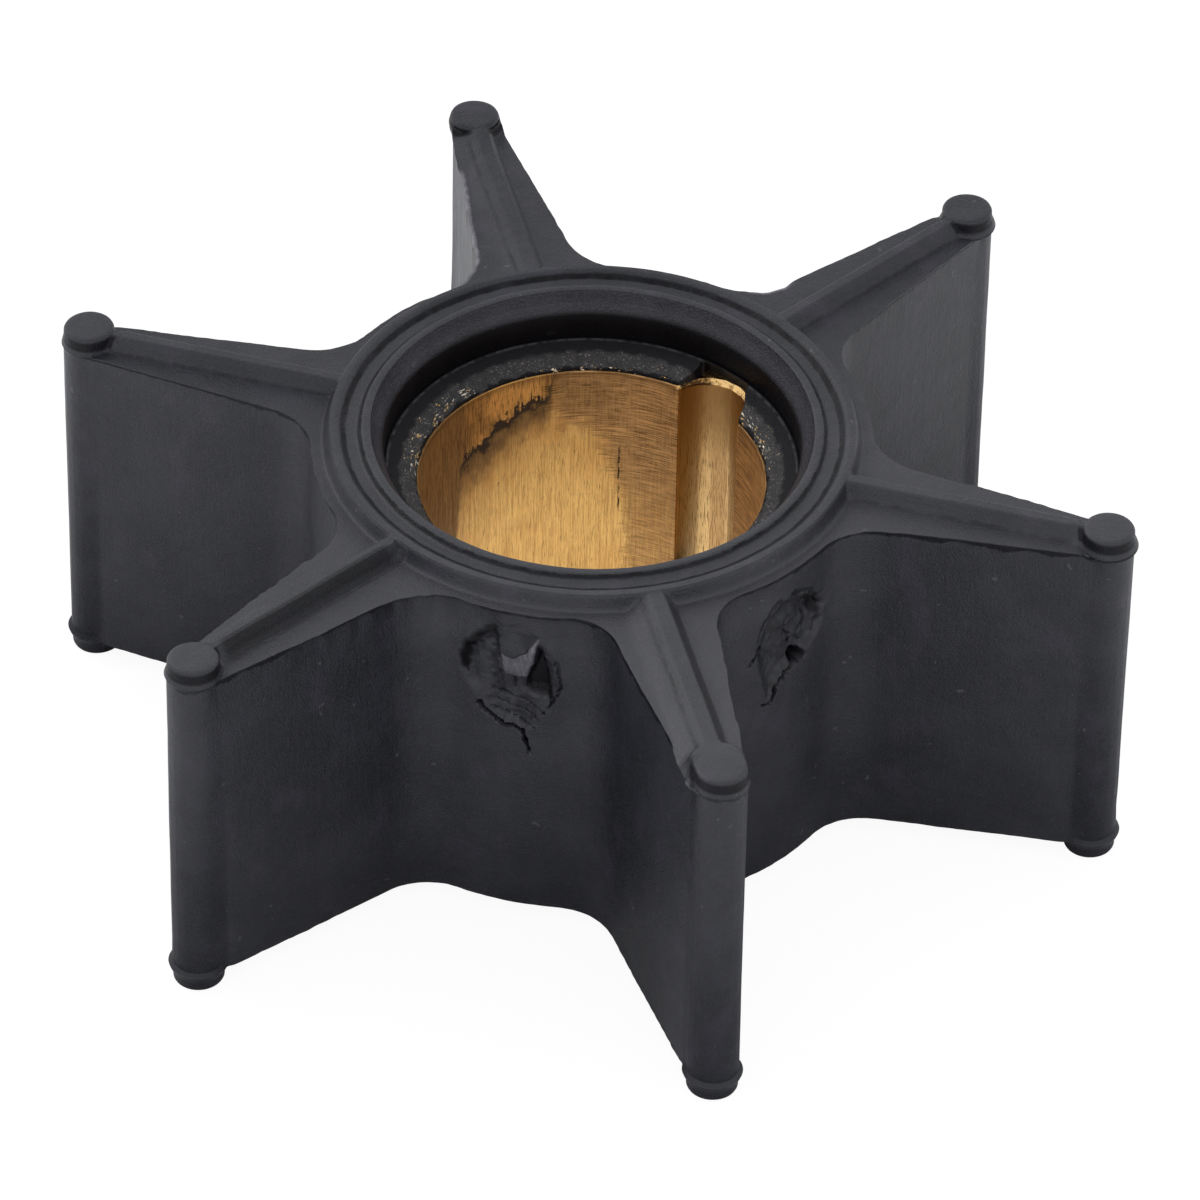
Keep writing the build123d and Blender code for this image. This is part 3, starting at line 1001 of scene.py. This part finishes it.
def fade(value, low, high):
    """Nought where the value is at low, one where it is at high, smooth between them. High may be below low."""
    sockets = {"Value": value, "From Min": low, "From Max": high}
    return field(value.tree, "ShaderNodeMapRange", "Result", sockets, interpolation_type="SMOOTHSTEP")


def window(value, start, full, still, end):
    """One between full and still, and nought before start and after end."""
    return fade(value, start, full) * fade(value, end, still)


def rescale(value, low, high):
    """A value from nought to one stretched to run from low to high."""
    return field(value.tree, "ShaderNodeMapRange", "Result", {"Value": value, "To Min": low, "To Max": high})


def blend_colours(factor, under, over):
    """The colour under the factor's colour over it."""
    under, over = (tint if isinstance(tint, Field) else (*tint, 1.0) for tint in (under, over))
    return field(factor.tree, "ShaderNodeMix", 2, {0: factor, 6: under, 7: over}, data_type="RGBA")


def painted(tint, *layers):
    """A colour with layers over it, each given as a mask and its colour."""
    for mask, over in layers:
        tint = blend_colours(mask, tint, over)
    return tint


def clouds(vector, size, detail=2.0, roughness=0.5):
    """Noise in lumps of about the given size."""
    sockets = {"Vector": vector, "Scale": 1.0 / size, "Detail": detail, "Roughness": roughness}
    return field(vector.tree, "ShaderNodeTexNoise", "Fac", sockets)


def stretched(vector, scale):
    """A vector scaled differently along each axis."""
    return field(vector.tree, "ShaderNodeVectorMath", 0, {0: vector, 1: scale}, operation="MULTIPLY")


def streaks(vector, scale, detail, roughness):
    """Noise that is drawn out along the axes with a small scale."""
    return clouds(stretched(vector, scale), 1.0, detail, roughness)


def place_in_millimetres(tree):
    """The surface point in the impeller's own frame, in millimetres, and its x, y and z."""
    spot = stretched(field(tree, "ShaderNodeTexCoord", "Object"), (1 / METRE,) * 3)
    return spot, *(field(tree, "ShaderNodeSeparateXYZ", axis, {0: spot}) for axis in range(3))


def light_path(tree):
    """Whether the ray comes from the camera, and whether it is a mirrored one."""
    return (field(tree, "ShaderNodeLightPath", name) for name in ("Is Camera Ray", "Is Glossy Ray"))


def from_axis(x, y):
    """Distance from the impeller's axis."""
    return maths("SQRT", x * x + y * y)


def new_group(name, takes, gives):
    """A shader node group and its inputs, each given as (name, kind, default), with one output."""
    tree = bpy.data.node_groups.new(name, "ShaderNodeTree")
    for label, kind, default in takes:
        socket = tree.interface.new_socket(label, in_out="INPUT", socket_type="NodeSocket" + kind)
        if default is not None:
            socket.default_value = default
    tree.interface.new_socket(gives, in_out="OUTPUT", socket_type="NodeSocketFloat")
    given = node(tree, "NodeGroupInput").outputs
    return tree, *(Field(tree, given[label]) for label, *_ in takes)


def dust_group():
    """Scattered specks of dust, some round and some drawn out, as a mask."""
    if "Dust Specks" in bpy.data.node_groups:
        return bpy.data.node_groups["Dust Specks"]
    takes = (("Vector", "Vector", None), ("Size", "Float", 0.5), ("Share", "Float", 0.2))
    tree, vector, size, share = new_group("Dust Specks", takes, "Mask")
    scale = 1.0 / size
    warp = field(tree, "ShaderNodeTexNoise", "Color", {"Vector": vector, "Scale": scale, "Detail": 1.0})
    warp = field(tree, "ShaderNodeVectorMath", 0, {0: warp, 1: vector}, operation="ADD")
    cells = node(tree, "ShaderNodeTexVoronoi", {"Vector": warp, "Scale": scale, "Randomness": 1.0}).outputs
    pick = node(tree, "ShaderNodeSeparateColor", {0: Field(tree, cells["Color"])}).outputs
    near = Field(tree, cells["Distance"]) < Field(tree, pick[1]) * 0.16 + 0.05
    node(tree, "NodeGroupOutput", {"Mask": near * (Field(tree, pick[0]) < share)})
    return tree


def grain_group():
    """Fine leathery grain with larger soft lumps, as a height."""
    if "Moulded Grain" in bpy.data.node_groups:
        return bpy.data.node_groups["Moulded Grain"]
    takes = (("Vector", "Vector", None), ("Size", "Float", 0.2), ("Lumps", "Float", 0.5))
    tree, vector, size, lumps = new_group("Moulded Grain", takes, "Height")
    scale = 1.0 / size
    fine = {"Vector": vector, "Scale": scale, "Detail": 3.0, "Roughness": 0.6}
    wide = {"Vector": vector, "Scale": scale / 7.0, "Detail": 2.0}
    fine, wide = (field(tree, "ShaderNodeTexNoise", "Fac", sockets) for sockets in (fine, wide))
    node(tree, "NodeGroupOutput", {"Height": wide * lumps + fine})
    return tree


def place_group(group, vector, **values):
    """One use of a node group, with its own values."""
    return field(vector.tree, "ShaderNodeGroup", 0, {"Vector": vector, **values}, node_tree=group)


def new_material(name):
    """A material with its tree and its shader."""
    material = bpy.data.materials.new(name)
    material.use_nodes = True
    return material, material.node_tree, material.node_tree.nodes["Principled BSDF"]


def drive(tree, shader, height, strength, distance, **sockets):
    """Links the shader's sockets and its bump."""
    bump = {"Strength": strength, "Distance": distance * METRE, "Height": height}
    give(tree, shader.inputs["Normal"], field(tree, "ShaderNodeBump", 0, bump))
    for name, value in sockets.items():
        give(tree, shader.inputs[name.replace("_", " ")], value)


# Materials


def rubber_material(f):
    """Dusty black rubber, with torn places paler and streaked, and shade painted into its hollows, grooves, edges and
    counterbore.
    """
    material, tree, shader = new_material("Moulded Rubber")
    spot, x, y, z = place_in_millimetres(tree)
    radius = from_axis(x, y)
    flat, upright = fade(normal_z(tree), 0.3, 0.7), 1.0 - fade(abs(normal_z(tree)), 0.25, 0.6)
    patchy = clouds(spot, 1.1, 4.0, 0.65)
    cloud = fade(clouds(spot, 4.5, 4.0, 0.6), 0.38, 0.66)
    mottle = fade(clouds(spot, 0.14, 3.0, 0.75), 0.42, 0.66)
    bloom = fade(clouds(stretched(spot, (1.0, 1.0, 0.6)), 2.4, 3.0, 0.55), 0.56, 0.72)
    # The torn number: torn rubber where positive, painted shade where negative, with painted light on the gate marks'
    # torn faces
    torn = field(tree, "ShaderNodeAttribute", "Fac", attribute_name="torn")
    fibres = fade(streaks(spot, (7.0, 7.0, 0.8), 3.0, 0.7), 0.35, 0.65)
    fresh = maths("MULTIPLY", torn, rescale(fibres, 0.45, 1.0), clamp=True)
    specks = place_group(dust_group(), spot, Size=0.75, Share=0.07)
    lint = place_group(dust_group(), spot, Size=0.22, Share=0.06)
    salt = fade(clouds(spot, 0.11, 2.0, 0.8), 0.50, 0.68)
    salt = salt * rescale(window(radius, 13.2, 13.4, 14.1, 14.2), 0.22, 0.8)

    # Painted shade: lines in the ring's channel and along the feet of the ribs, the pads' sides, a band under the
    # land's edge and a thin line along it
    wavy = patchy * 0.24 + radius - 0.12
    channel_shade = largest(window(wavy, 14.55, 14.66, 14.74, 14.9), window(wavy, 15.5, 15.66, 15.88, 16.06))
    channel_shade = channel_shade * rescale(fade(patchy, 0.25, 0.7), 0.55, 0.8)
    local = maths("ARCTAN2", y, x) - math.radians(FIRST_VANE)
    local = maths("WRAP", local, math.radians(PITCH / 2), -math.radians(PITCH / 2))
    along, across = radius * maths("COSINE", local), abs(radius * maths("SINE", local))
    foot = window(patchy * 0.3 + across, 0.92, 1.06, 1.12, 1.3) * window(along, 17.0, 17.4, 30.8, 31.8)
    foot = foot * rescale(fade(patchy, 0.35, 0.65), 0.2, 0.6) * 0.6
    from_pad = from_axis(along - PAD_CIRCLE, across)
    side = fade(from_pad, 2.0, 1.85) * window(z, TOP - 1.0, TOP - 0.8, TOP - 0.35, TOP - 0.1)
    under = fade(patchy * 1.1 + z - (TOP - 1.2), 0.16, 0.34) * fade(z, TOP - 1.16, TOP - 1.26) * fade(y, 12.0, 6.0)
    thin = window(patchy * 0.3 + z - LAND, -0.14, -0.06, 0.02, 0.08) * fade(y, 4.0, 9.0)
    painted_shade = largest(channel_shade, foot) * fade(z, TOP - 1.3, TOP - 1.1)
    painted_shade = largest(painted_shade, side * 0.7, largest(under, thin) * upright * 0.7)
    # All painted shade together: from the torn number, the lines above and down the counterbore's wall
    dark = largest(maths("MULTIPLY", torn, -0.95, clamp=True), painted_shade, fade(radius, 13.42, 13.18) * 0.85)
    # The upper faces are painted paler towards the front and darker towards the back
    paler_to_front = fade(patchy * 12.0 + y, 18.0, -26.0) * flat * fade(z, TOP - 0.3, TOP - 0.8)
    paler_to_front = paler_to_front * rescale(fade(radius, 18.5, 22.0), 1.0, 0.6)
    tint = painted(
        f.dark, (cloud, f.pale), (mottle * 0.5, (0.030, 0.030, 0.040)), (bloom * 0.35, (0.036, 0.031, 0.050)),
        (fresh, f.torn), (largest(specks * 0.14, lint * 0.3), f.dust), (salt, (0.050, 0.050, 0.066)),
        (paler_to_front, (0.038, 0.038, 0.045)), (dark, (0.0015, 0.0015, 0.002)),
    )
    # The beads down the tips are duller towards their feet
    bead = fade(from_pad, 2.1, 1.8) * fade(z, TOP - 1.6, 2.0)
    gloss = (0.5 - fade(y, -38.0, 34.0) * flat * 0.22) * rescale(dark, 1.0, 0.12) * rescale(bead, 1.0, 0.5)

    grain = place_group(grain_group(), spot, Size=0.13, Lumps=0.8)
    height = streaks(spot, (3.2, 3.2, 0.35), 3.0, 0.6) * upright * 0.45 + grain
    rough = flat * 0.04 + rescale(clouds(spot, 1.4, 3.0, 0.6), 0.32, 0.44)
    drive(tree, shader, height, f.grain, 0.1, Base_Color=tint, Roughness=rough, Specular_IOR_Level=gloss)
    return material


def normal_z(tree):
    """The upward part of the surface's own normal."""
    facing = field(tree, "ShaderNodeNewGeometry", "True Normal")
    return field(tree, "ShaderNodeSeparateXYZ", 2, {0: facing})


def skin_material(brass):
    """The end skin: dark rubber, with lime grains and flakes of brass in a band beside the bore, and a painted
    highlight along its outer edge.
    """
    material, tree, shader = new_material("Flecked Skin")
    spot, x, y, z = place_in_millimetres(tree)
    radius, angle = from_axis(x, y), maths("ARCTAN2", y, x) * DEGREES
    band = window(clouds(spot, 0.9, 3.0) * 0.8 + radius - 0.4, 11.1, 11.2, 12.0, 12.3)
    grains = fade(clouds(spot, 0.125, 2.0, 0.8), 0.54, 0.64)
    thick = fade(clouds(spot, 0.7, 3.0, 0.6), 0.36, 0.62)
    # Flakes lie along the bore's edge, most of them on the left and on the right
    round_bore = field(tree, "ShaderNodeCombineXYZ", 0, {0: angle * 0.2, 1: radius, 2: z})
    drawn = streaks(round_bore, (2.6, 8.0, 2.0), 3.0, 0.7)
    left, right = window(angle, 112.0, 122.0, 160.0, 175.0), window(angle, -14.0, -4.0, 21.0, 23.0)
    rim = fade(radius, 11.3, 11.15) * window(angle, 48.0, 52.0, 98.0, 104.0)
    worn = fade(radius, 11.75, 11.4) * window(angle, -2.0, 1.0, 21.0, 24.0)
    limit = rescale(worn * 0.8 + largest(left, right, rim, 0.25), 0.76, 0.615)
    inward = rescale(fade(radius, 12.2, 11.5), 0.0, 0.05)
    cluster = largest(fade(clouds(spot, 0.8, 2.0), 0.47, 0.56), worn)
    flake = (drawn > limit - (inward - 0.02)) * cluster * largest(band, rim)
    pale = blend_colours(fade(clouds(spot, 0.5), 0.45, 0.55), brass.bright, (0.92, 0.82, 0.66))
    # Painted highlight: a pale line along the skin's outer edge, beside the counterbore
    edge = window(radius, 12.86, 12.96, 13.04, 13.14) * fade(clouds(spot, 0.5, 3.0), 0.35, 0.6)
    tint = painted(
        (0.006, 0.006, 0.008), (band, (0.011, 0.0105, 0.012)), (grains * thick * band * 0.8, (0.30, 0.27, 0.24)),
        (flake, pale), (edge * 0.55, (0.075, 0.073, 0.08)),
    )
    height = grains * band * 0.8 + place_group(grain_group(), spot, Size=0.12, Lumps=1.0)
    gloss, rough = rescale(band, 0.14, 0.45), rescale(flake, 0.5, 0.35)
    drive(tree, shader, height, 0.7, 0.1, Base_Color=tint, Roughness=rough, Specular_IOR_Level=gloss)
    return material


def curve_over_angle(tree, angle, marks):
    """Height of a line drawn over the bore's wall, from marks given as angle and height."""
    (first, highest), (last, lowest) = marks[0], marks[-1]
    share = {"Value": angle, "From Min": first, "From Max": last}
    curve = node(tree, "ShaderNodeFloatCurve", {"Value": field(tree, "ShaderNodeMapRange", "Result", share)})
    line = curve.mapping.curves[0]
    line.points[0].location, line.points[1].location = (0.0, 1.0), (1.0, 0.0)
    for degrees, level in marks[1:-1]:
        line.points.new((degrees - first) / (last - first), (level - lowest) / (highest - lowest))
    curve.mapping.update()
    return Field(tree, curve.outputs[0]) * (highest - lowest) + lowest


def tarnished_tint(f, angle, strands, fine_strands, broad):
    """Colour of the tarnished patch: bright orange at its upper left and brown at the far left."""
    vivid = window(angle, 90.0, 96.0, 114.0, 126.0) * fade(broad, 0.3, 0.6)
    return painted(
        (0.20, 0.105, 0.035), (fade(strands, 0.36, 0.58), f.orange), (vivid * 0.9, (1.0, 0.56, 0.17)),
        (fade(angle, 118.0, 130.0) * 0.5, (0.25, 0.165, 0.075)),
        (fade(fine_strands, 0.52, 0.64), (0.11, 0.052, 0.02)),
    )


def keyway_colour_and_highlights(x, y, z, strands, fine_strands, wander):
    """Colour of the keyway from its left flank round to its right: brown, a painted highlight, plain, a thin painted
    highlight line, brown.
    """
    middle_x, middle_y = (KEYWAY_CENTRE * part(math.radians(KEYWAY_ANGLE)) for part in (math.cos, math.sin))
    turn = maths("ARCTAN2", y - middle_y, x - middle_x) * DEGREES - KEYWAY_ANGLE + strands * 6.0 - 3.0
    return painted(
        (0.62, 0.38, 0.17), (window(turn, 30.0, 36.0, 48.0, 54.0), (0.92, 0.62, 0.28)),
        (largest(fade(turn, 46.0, 58.0), fade(turn, 10.0, 0.0)), (0.46, 0.31, 0.15)),
        (window(turn, 4.0, 6.0, 8.0, 10.0), (0.90, 0.62, 0.30)), (fade(strands, 0.56, 0.68), (0.30, 0.16, 0.06)),
        (fade(fine_strands, 0.52, 0.63), (0.22, 0.12, 0.045)),
        (fade(wander * 3.0 + z, 16.0, 21.0) * 0.8, (0.36, 0.22, 0.085)),
    )


def scraped_tint(spot, radius, angle, wander):
    """Colour of the broken end beyond the keyway, dark where the skin still hangs over its left corner."""
    corner = fade(angle, 38.0, 40.0) * fade(radius, 12.95, 12.75)
    corner = largest(corner, fade(wander + angle, 43.6, 44.2))
    rough = fade(clouds(spot, 0.3, 3.0, 0.7), 0.52, 0.62)
    return painted((0.80, 0.52, 0.22), (corner, (0.06, 0.03, 0.012)), (rough, (0.30, 0.17, 0.06)))


# Lower edge of the tarnished patch on the bore's wall, as angle and height
PATCH_EDGE = (
    (85.0, 23.0), (89.0, 22.5), (91.0, 20.6), (98.0, 20.0), (105.0, 19.2), (110.5, 18.6), (116.0, 17.8), (122.0, 17.6),
    (125.5, 17.0), (127.5, 14.5), (129.0, 9.0), (131.0, 4.0),
)


def brass_material(f):
    """Brass with scratches down the bore, lathe marks near its end, a tarnished patch and a dark water stain."""
    material, tree, shader = new_material("Stained Brass")
    spot, x, y, z = place_in_millimetres(tree)
    radius, angle = from_axis(x, y), maths("ARCTAN2", y, x) * DEGREES
    in_bore = fade(radius, 11.12, 11.05)
    strands = streaks(spot, (9.0, 9.0, 0.3), 4.0, 0.7)
    fine_strands = streaks(spot, (24.0, 24.0, 1.1), 3.0, 0.65)
    turning = streaks(spot, (0.6, 0.6, 18.0), 3.0, 0.7)
    wander, broad = clouds(spot, 1.0, 4.0, 0.6), clouds(spot, 3.0, 3.0, 0.6)

    # The tarnished patch lies above its edge, and the black stain under it
    above = z - curve_over_angle(tree, angle, PATCH_EDGE) + wander * 3.4 - 1.7 + strands * 1.6 - 0.8
    orange = fade(above, -0.05, 0.12) * fade(angle, 86.0, 92.0) * in_bore
    under = fade(above, 0.1, -0.05) * fade(above, -4.2, -0.4)
    core = fade(above, 0.06, -0.08) * fade(above, -2.0, -0.5)
    stained = largest(under * 0.75, core * 0.97) * window(angle, 80.0, 94.0, 124.0, 134.0) * in_bore

    # Lathe marks, brown and rough, towards the top and right of the far wall
    worked = fade(strands * 5.0 + wander * 5.0 + z, 21.6, 23.4) * fade(angle, 92.0, 84.0)
    lean = largest(z - 11.0, 0.0) * -2.0
    jagged = turning * 22.0 + wander * 12.0 - 17.0
    worked = largest(worked, fade(angle + lean + jagged, 65.5, 59.5)) * in_bore
    brown = fade(fine_strands * 0.3 + turning, 0.5, 0.8)
    brown = blend_colours(brown, (0.15, 0.075, 0.035), (0.84, 0.52, 0.23))
    combed = rescale(fade(strands, 0.62, 0.36), 0.66, 0.95) * rescale(fade(z, 9.0, 17.0), 0.6, 1.0)

    # Black smears run right from the stain, and a thin black line down the wall
    smear = window(angle, 64.0, 76.0, 90.0, 98.0) * window(z, 18.2, 19.3, 20.8, 21.6)
    smear = smear * fade(turning, 0.5, 0.62) * in_bore
    drip = window(wander * 1.5 + angle, 67.1, 67.4, 67.8, 68.1) * window(z, 10.2, 11.0, 15.2, 16.2)
    drip = drip * fade(clouds(spot, 0.5, 3.0), 0.40, 0.52)
    specks = place_group(dust_group(), stretched(spot, (1.0, 1.0, 0.4)), Size=0.3, Share=0.18)
    in_key = fade(radius, 11.05, 11.3) * fade(z, BUSH_TOP - 0.02, BUSH_TOP - 0.1)
    end = fade(z, BUSH_TOP - 0.42, BUSH_TOP - 0.3) * fade(radius, 11.2, 11.4)
    tint = painted(
        (0.62, 0.34, 0.11), (fade(strands, 0.34, 0.62), f.bright),
        (fade(fine_strands, 0.51, 0.67) * 0.75, (0.27, 0.14, 0.05)),
        (fade(broad, 0.45, 0.75) * 0.35, (0.70, 0.33, 0.09)), (worked * combed, brown),
        (orange * 0.92, tarnished_tint(f, angle, strands, fine_strands, broad)),
        (stained, f.stain), (smear * 0.85, f.stain), (drip * 0.9, f.stain), (specks * 0.6, (0.12, 0.06, 0.025)),
        (fade(z, 21.1, 21.7) * in_bore * 0.5, (0.16, 0.08, 0.03)),
        # The keyway's colour, with painted highlights down it
        (in_key * 0.85, keyway_colour_and_highlights(x, y, z, strands, fine_strands, wander)),
        (end, scraped_tint(spot, radius, angle, wander)),
    )
    rough = (wander - 0.5) * 0.2 + rescale(largest(orange, worked, stained), 0.34, 0.55)
    height = turning * worked * 1.2 + fine_strands * 0.5 + strands
    metal = rescale(stained, 1.0, 0.45)
    drive(tree, shader, height, 0.4, 0.05, Base_Color=tint, Roughness=rough, Metallic=metal)
    return material


def ground_material():
    """White ground that keeps a faint shadow, with a painted shadow near the impeller in the light it bounces and
    mirrors.
    """
    material, tree, shader = new_material("White Ground")
    tree.nodes.remove(shader)
    camera, glossy = light_path(tree)
    # The ground under the bore glows for mirrored rays too, a painted reflection that keeps it bright in the brass
    _, x, y, _ = place_in_millimetres(tree)
    radius = from_axis(x, y)
    seen = largest(camera, glossy * (radius < 12.5))
    # Painted shadow: the ground is darker near the impeller in the light it bounces and mirrors
    near = blend_colours(fade(radius, 15.0, 62.0), (0.46, 0.46, 0.465), (0.92, 0.92, 0.93))
    matt = field(tree, "ShaderNodeBsdfDiffuse", 0, {"Color": near})
    glow = field(tree, "ShaderNodeEmission", 0, {"Color": (1.0, 1.0, 1.0, 1.0), "Strength": 0.93})
    faint = field(tree, "ShaderNodeBsdfDiffuse", 0, {"Color": (0.12, 0.12, 0.12, 1.0)})
    both = field(tree, "ShaderNodeAddShader", 0, {0: glow, 1: faint})
    mixed = field(tree, "ShaderNodeMixShader", 0, {0: seen, 1: matt, 2: both})
    give(tree, tree.nodes["Material Output"].inputs["Surface"], mixed)
    return material


# Operators


class IMPELLER_OT_rubber(Operator):
    """Make the rubber moulding with its torn edges and gate marks"""

    bl_idname = "impeller.rubber"
    bl_label = "Rubber Moulding"

    def execute(self, context):
        scene = context.scene
        m, b = in_millimetres(scene.moulding_sizes), in_millimetres(scene.bush_sizes)
        shell = Shell("rubber_impeller")
        add_star(shell, m)
        upper, lower = add_hollow(shell, m, b, True), add_hollow(shell, m, b, False)
        shell.quads([upper, lower], closed=True)
        materials = [rubber_material(scene.rubber_finish), skin_material(scene.brass_finish)]
        piece = shell.build("impeller_rubber", materials)
        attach(piece, "root")
        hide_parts("rubber_impeller")
        return {"FINISHED"}


class IMPELLER_OT_bush(Operator):
    """Make the stained brass bush with its keyway"""

    bl_idname = "impeller.bush"
    bl_label = "Brass Bush"

    def execute(self, context):
        scene = context.scene
        shell = Shell("brass_bush")
        add_bush(shell, in_millimetres(scene.bush_sizes))
        piece = shell.build("bush_brass", [brass_material(scene.brass_finish)], sharp=25.0)
        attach(piece, "root")
        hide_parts("brass_bush")
        return {"FINISHED"}


class IMPELLER_OT_stage(Operator):
    """Set the camera, the soft lamps and the white ground"""

    bl_idname = "impeller.stage"
    bl_label = "Stage"

    def execute(self, context):
        scene, s = context.scene, context.scene.stage_settings
        aim = Vector((-0.003545, -0.016857, TOP * METRE))
        look = Vector((
            -math.sin(s.azimuth) * math.cos(s.elevation),
            math.cos(s.azimuth) * math.cos(s.elevation),
            -math.sin(s.elevation),
        ))
        level = Vector((math.cos(s.azimuth), math.sin(s.azimuth), 0.0))
        upright = level.cross(look)
        right = math.cos(s.roll) * level + math.sin(s.roll) * upright
        up = right.cross(look)
        lens = bpy.data.cameras.new("camera")
        lens.lens, lens.sensor_width = s.focal, 36.0
        lens.clip_start, lens.clip_end = 0.01, 20.0
        camera = bpy.data.objects.new("camera", lens)
        camera.matrix_world = Matrix((right, up, -look)).transposed().to_4x4()
        camera.location = aim - look * s.distance
        scene.collection.objects.link(camera)
        scene.camera = camera

        ground_mesh = bpy.data.meshes.new("ground")
        reach = 6.0
        corners = [(-reach, -reach, 0.0), (reach, -reach, 0.0), (reach, reach, 0.0), (-reach, reach, 0.0)]
        ground_mesh.from_pydata(corners, [], [(0, 1, 2, 3)])
        ground_mesh.materials.append(ground_material())
        ground = bpy.data.objects.new("ground", ground_mesh)
        scene.collection.objects.link(ground)

        world = bpy.data.worlds.new("sky")
        world.use_nodes = True
        sky = world.node_tree
        seen, mirrored = light_path(sky)
        background = sky.nodes["Background"].inputs
        give(sky, background["Color"], (0.97, 0.98, 1.0, 1.0))
        give(sky, background["Strength"], largest(rescale(mirrored, s.sky, s.mirrored), seen))
        scene.world = world

        self.lamp(scene, "key", (-0.38, 0.44, 0.52), 0.45, s.key)
        self.lamp(scene, "fill", (0.10, -0.55, 0.42), 0.5, s.fill)
        scene.view_settings.view_transform = "Standard"
        return {"FINISHED"}

    def lamp(self, scene, name, spot, size, power):
        """A square soft lamp that faces the impeller."""
        light = bpy.data.lights.new(name, "AREA")
        light.size, light.energy = size, power
        lamp = bpy.data.objects.new(name, light)
        lamp.location = spot
        lamp.rotation_euler = Vector(spot).to_track_quat("Z", "Y").to_euler()
        scene.collection.objects.link(lamp)


class IMPELLER_PT_panel(Panel):
    """Lists the impeller's pieces, sizes and finishes"""

    bl_idname = "IMPELLER_PT_panel"
    bl_label = "Rubber Impeller"
    bl_space_type = "VIEW_3D"
    bl_region_type = "UI"
    bl_category = "Impeller"

    def draw(self, context):
        layout = self.layout
        for operator in OPERATORS:
            layout.operator(operator.bl_idname)
        for name in GROUPS:
            box = layout.box()
            group = getattr(context.scene, name)
            box.label(text=name.replace("_", " ").capitalize())
            for key in group.__annotations__:
                box.prop(group, key)


GROUPS = {
    "moulding_sizes": MouldingSizes,
    "bush_sizes": BushSizes,
    "rubber_finish": RubberFinish,
    "brass_finish": BrassFinish,
    "stage_settings": StageSettings,
}
OPERATORS = (IMPELLER_OT_rubber, IMPELLER_OT_bush, IMPELLER_OT_stage)


def register():
    for cls in (*GROUPS.values(), *OPERATORS, IMPELLER_PT_panel):
        bpy.utils.register_class(cls)
    for name, cls in GROUPS.items():
        setattr(bpy.types.Scene, name, PointerProperty(type=cls))


def unregister():
    for name in GROUPS:
        delattr(bpy.types.Scene, name)
    for cls in reversed((*GROUPS.values(), *OPERATORS, IMPELLER_PT_panel)):
        bpy.utils.unregister_class(cls)


def corners(box):
    """A box as two plain lists."""
    return [list(corner) for corner in box]


def main():
    register()
    bpy.ops.impeller.rubber()
    bpy.ops.impeller.bush()
    bpy.ops.impeller.stage()


if __name__ == "__main__":
    main()
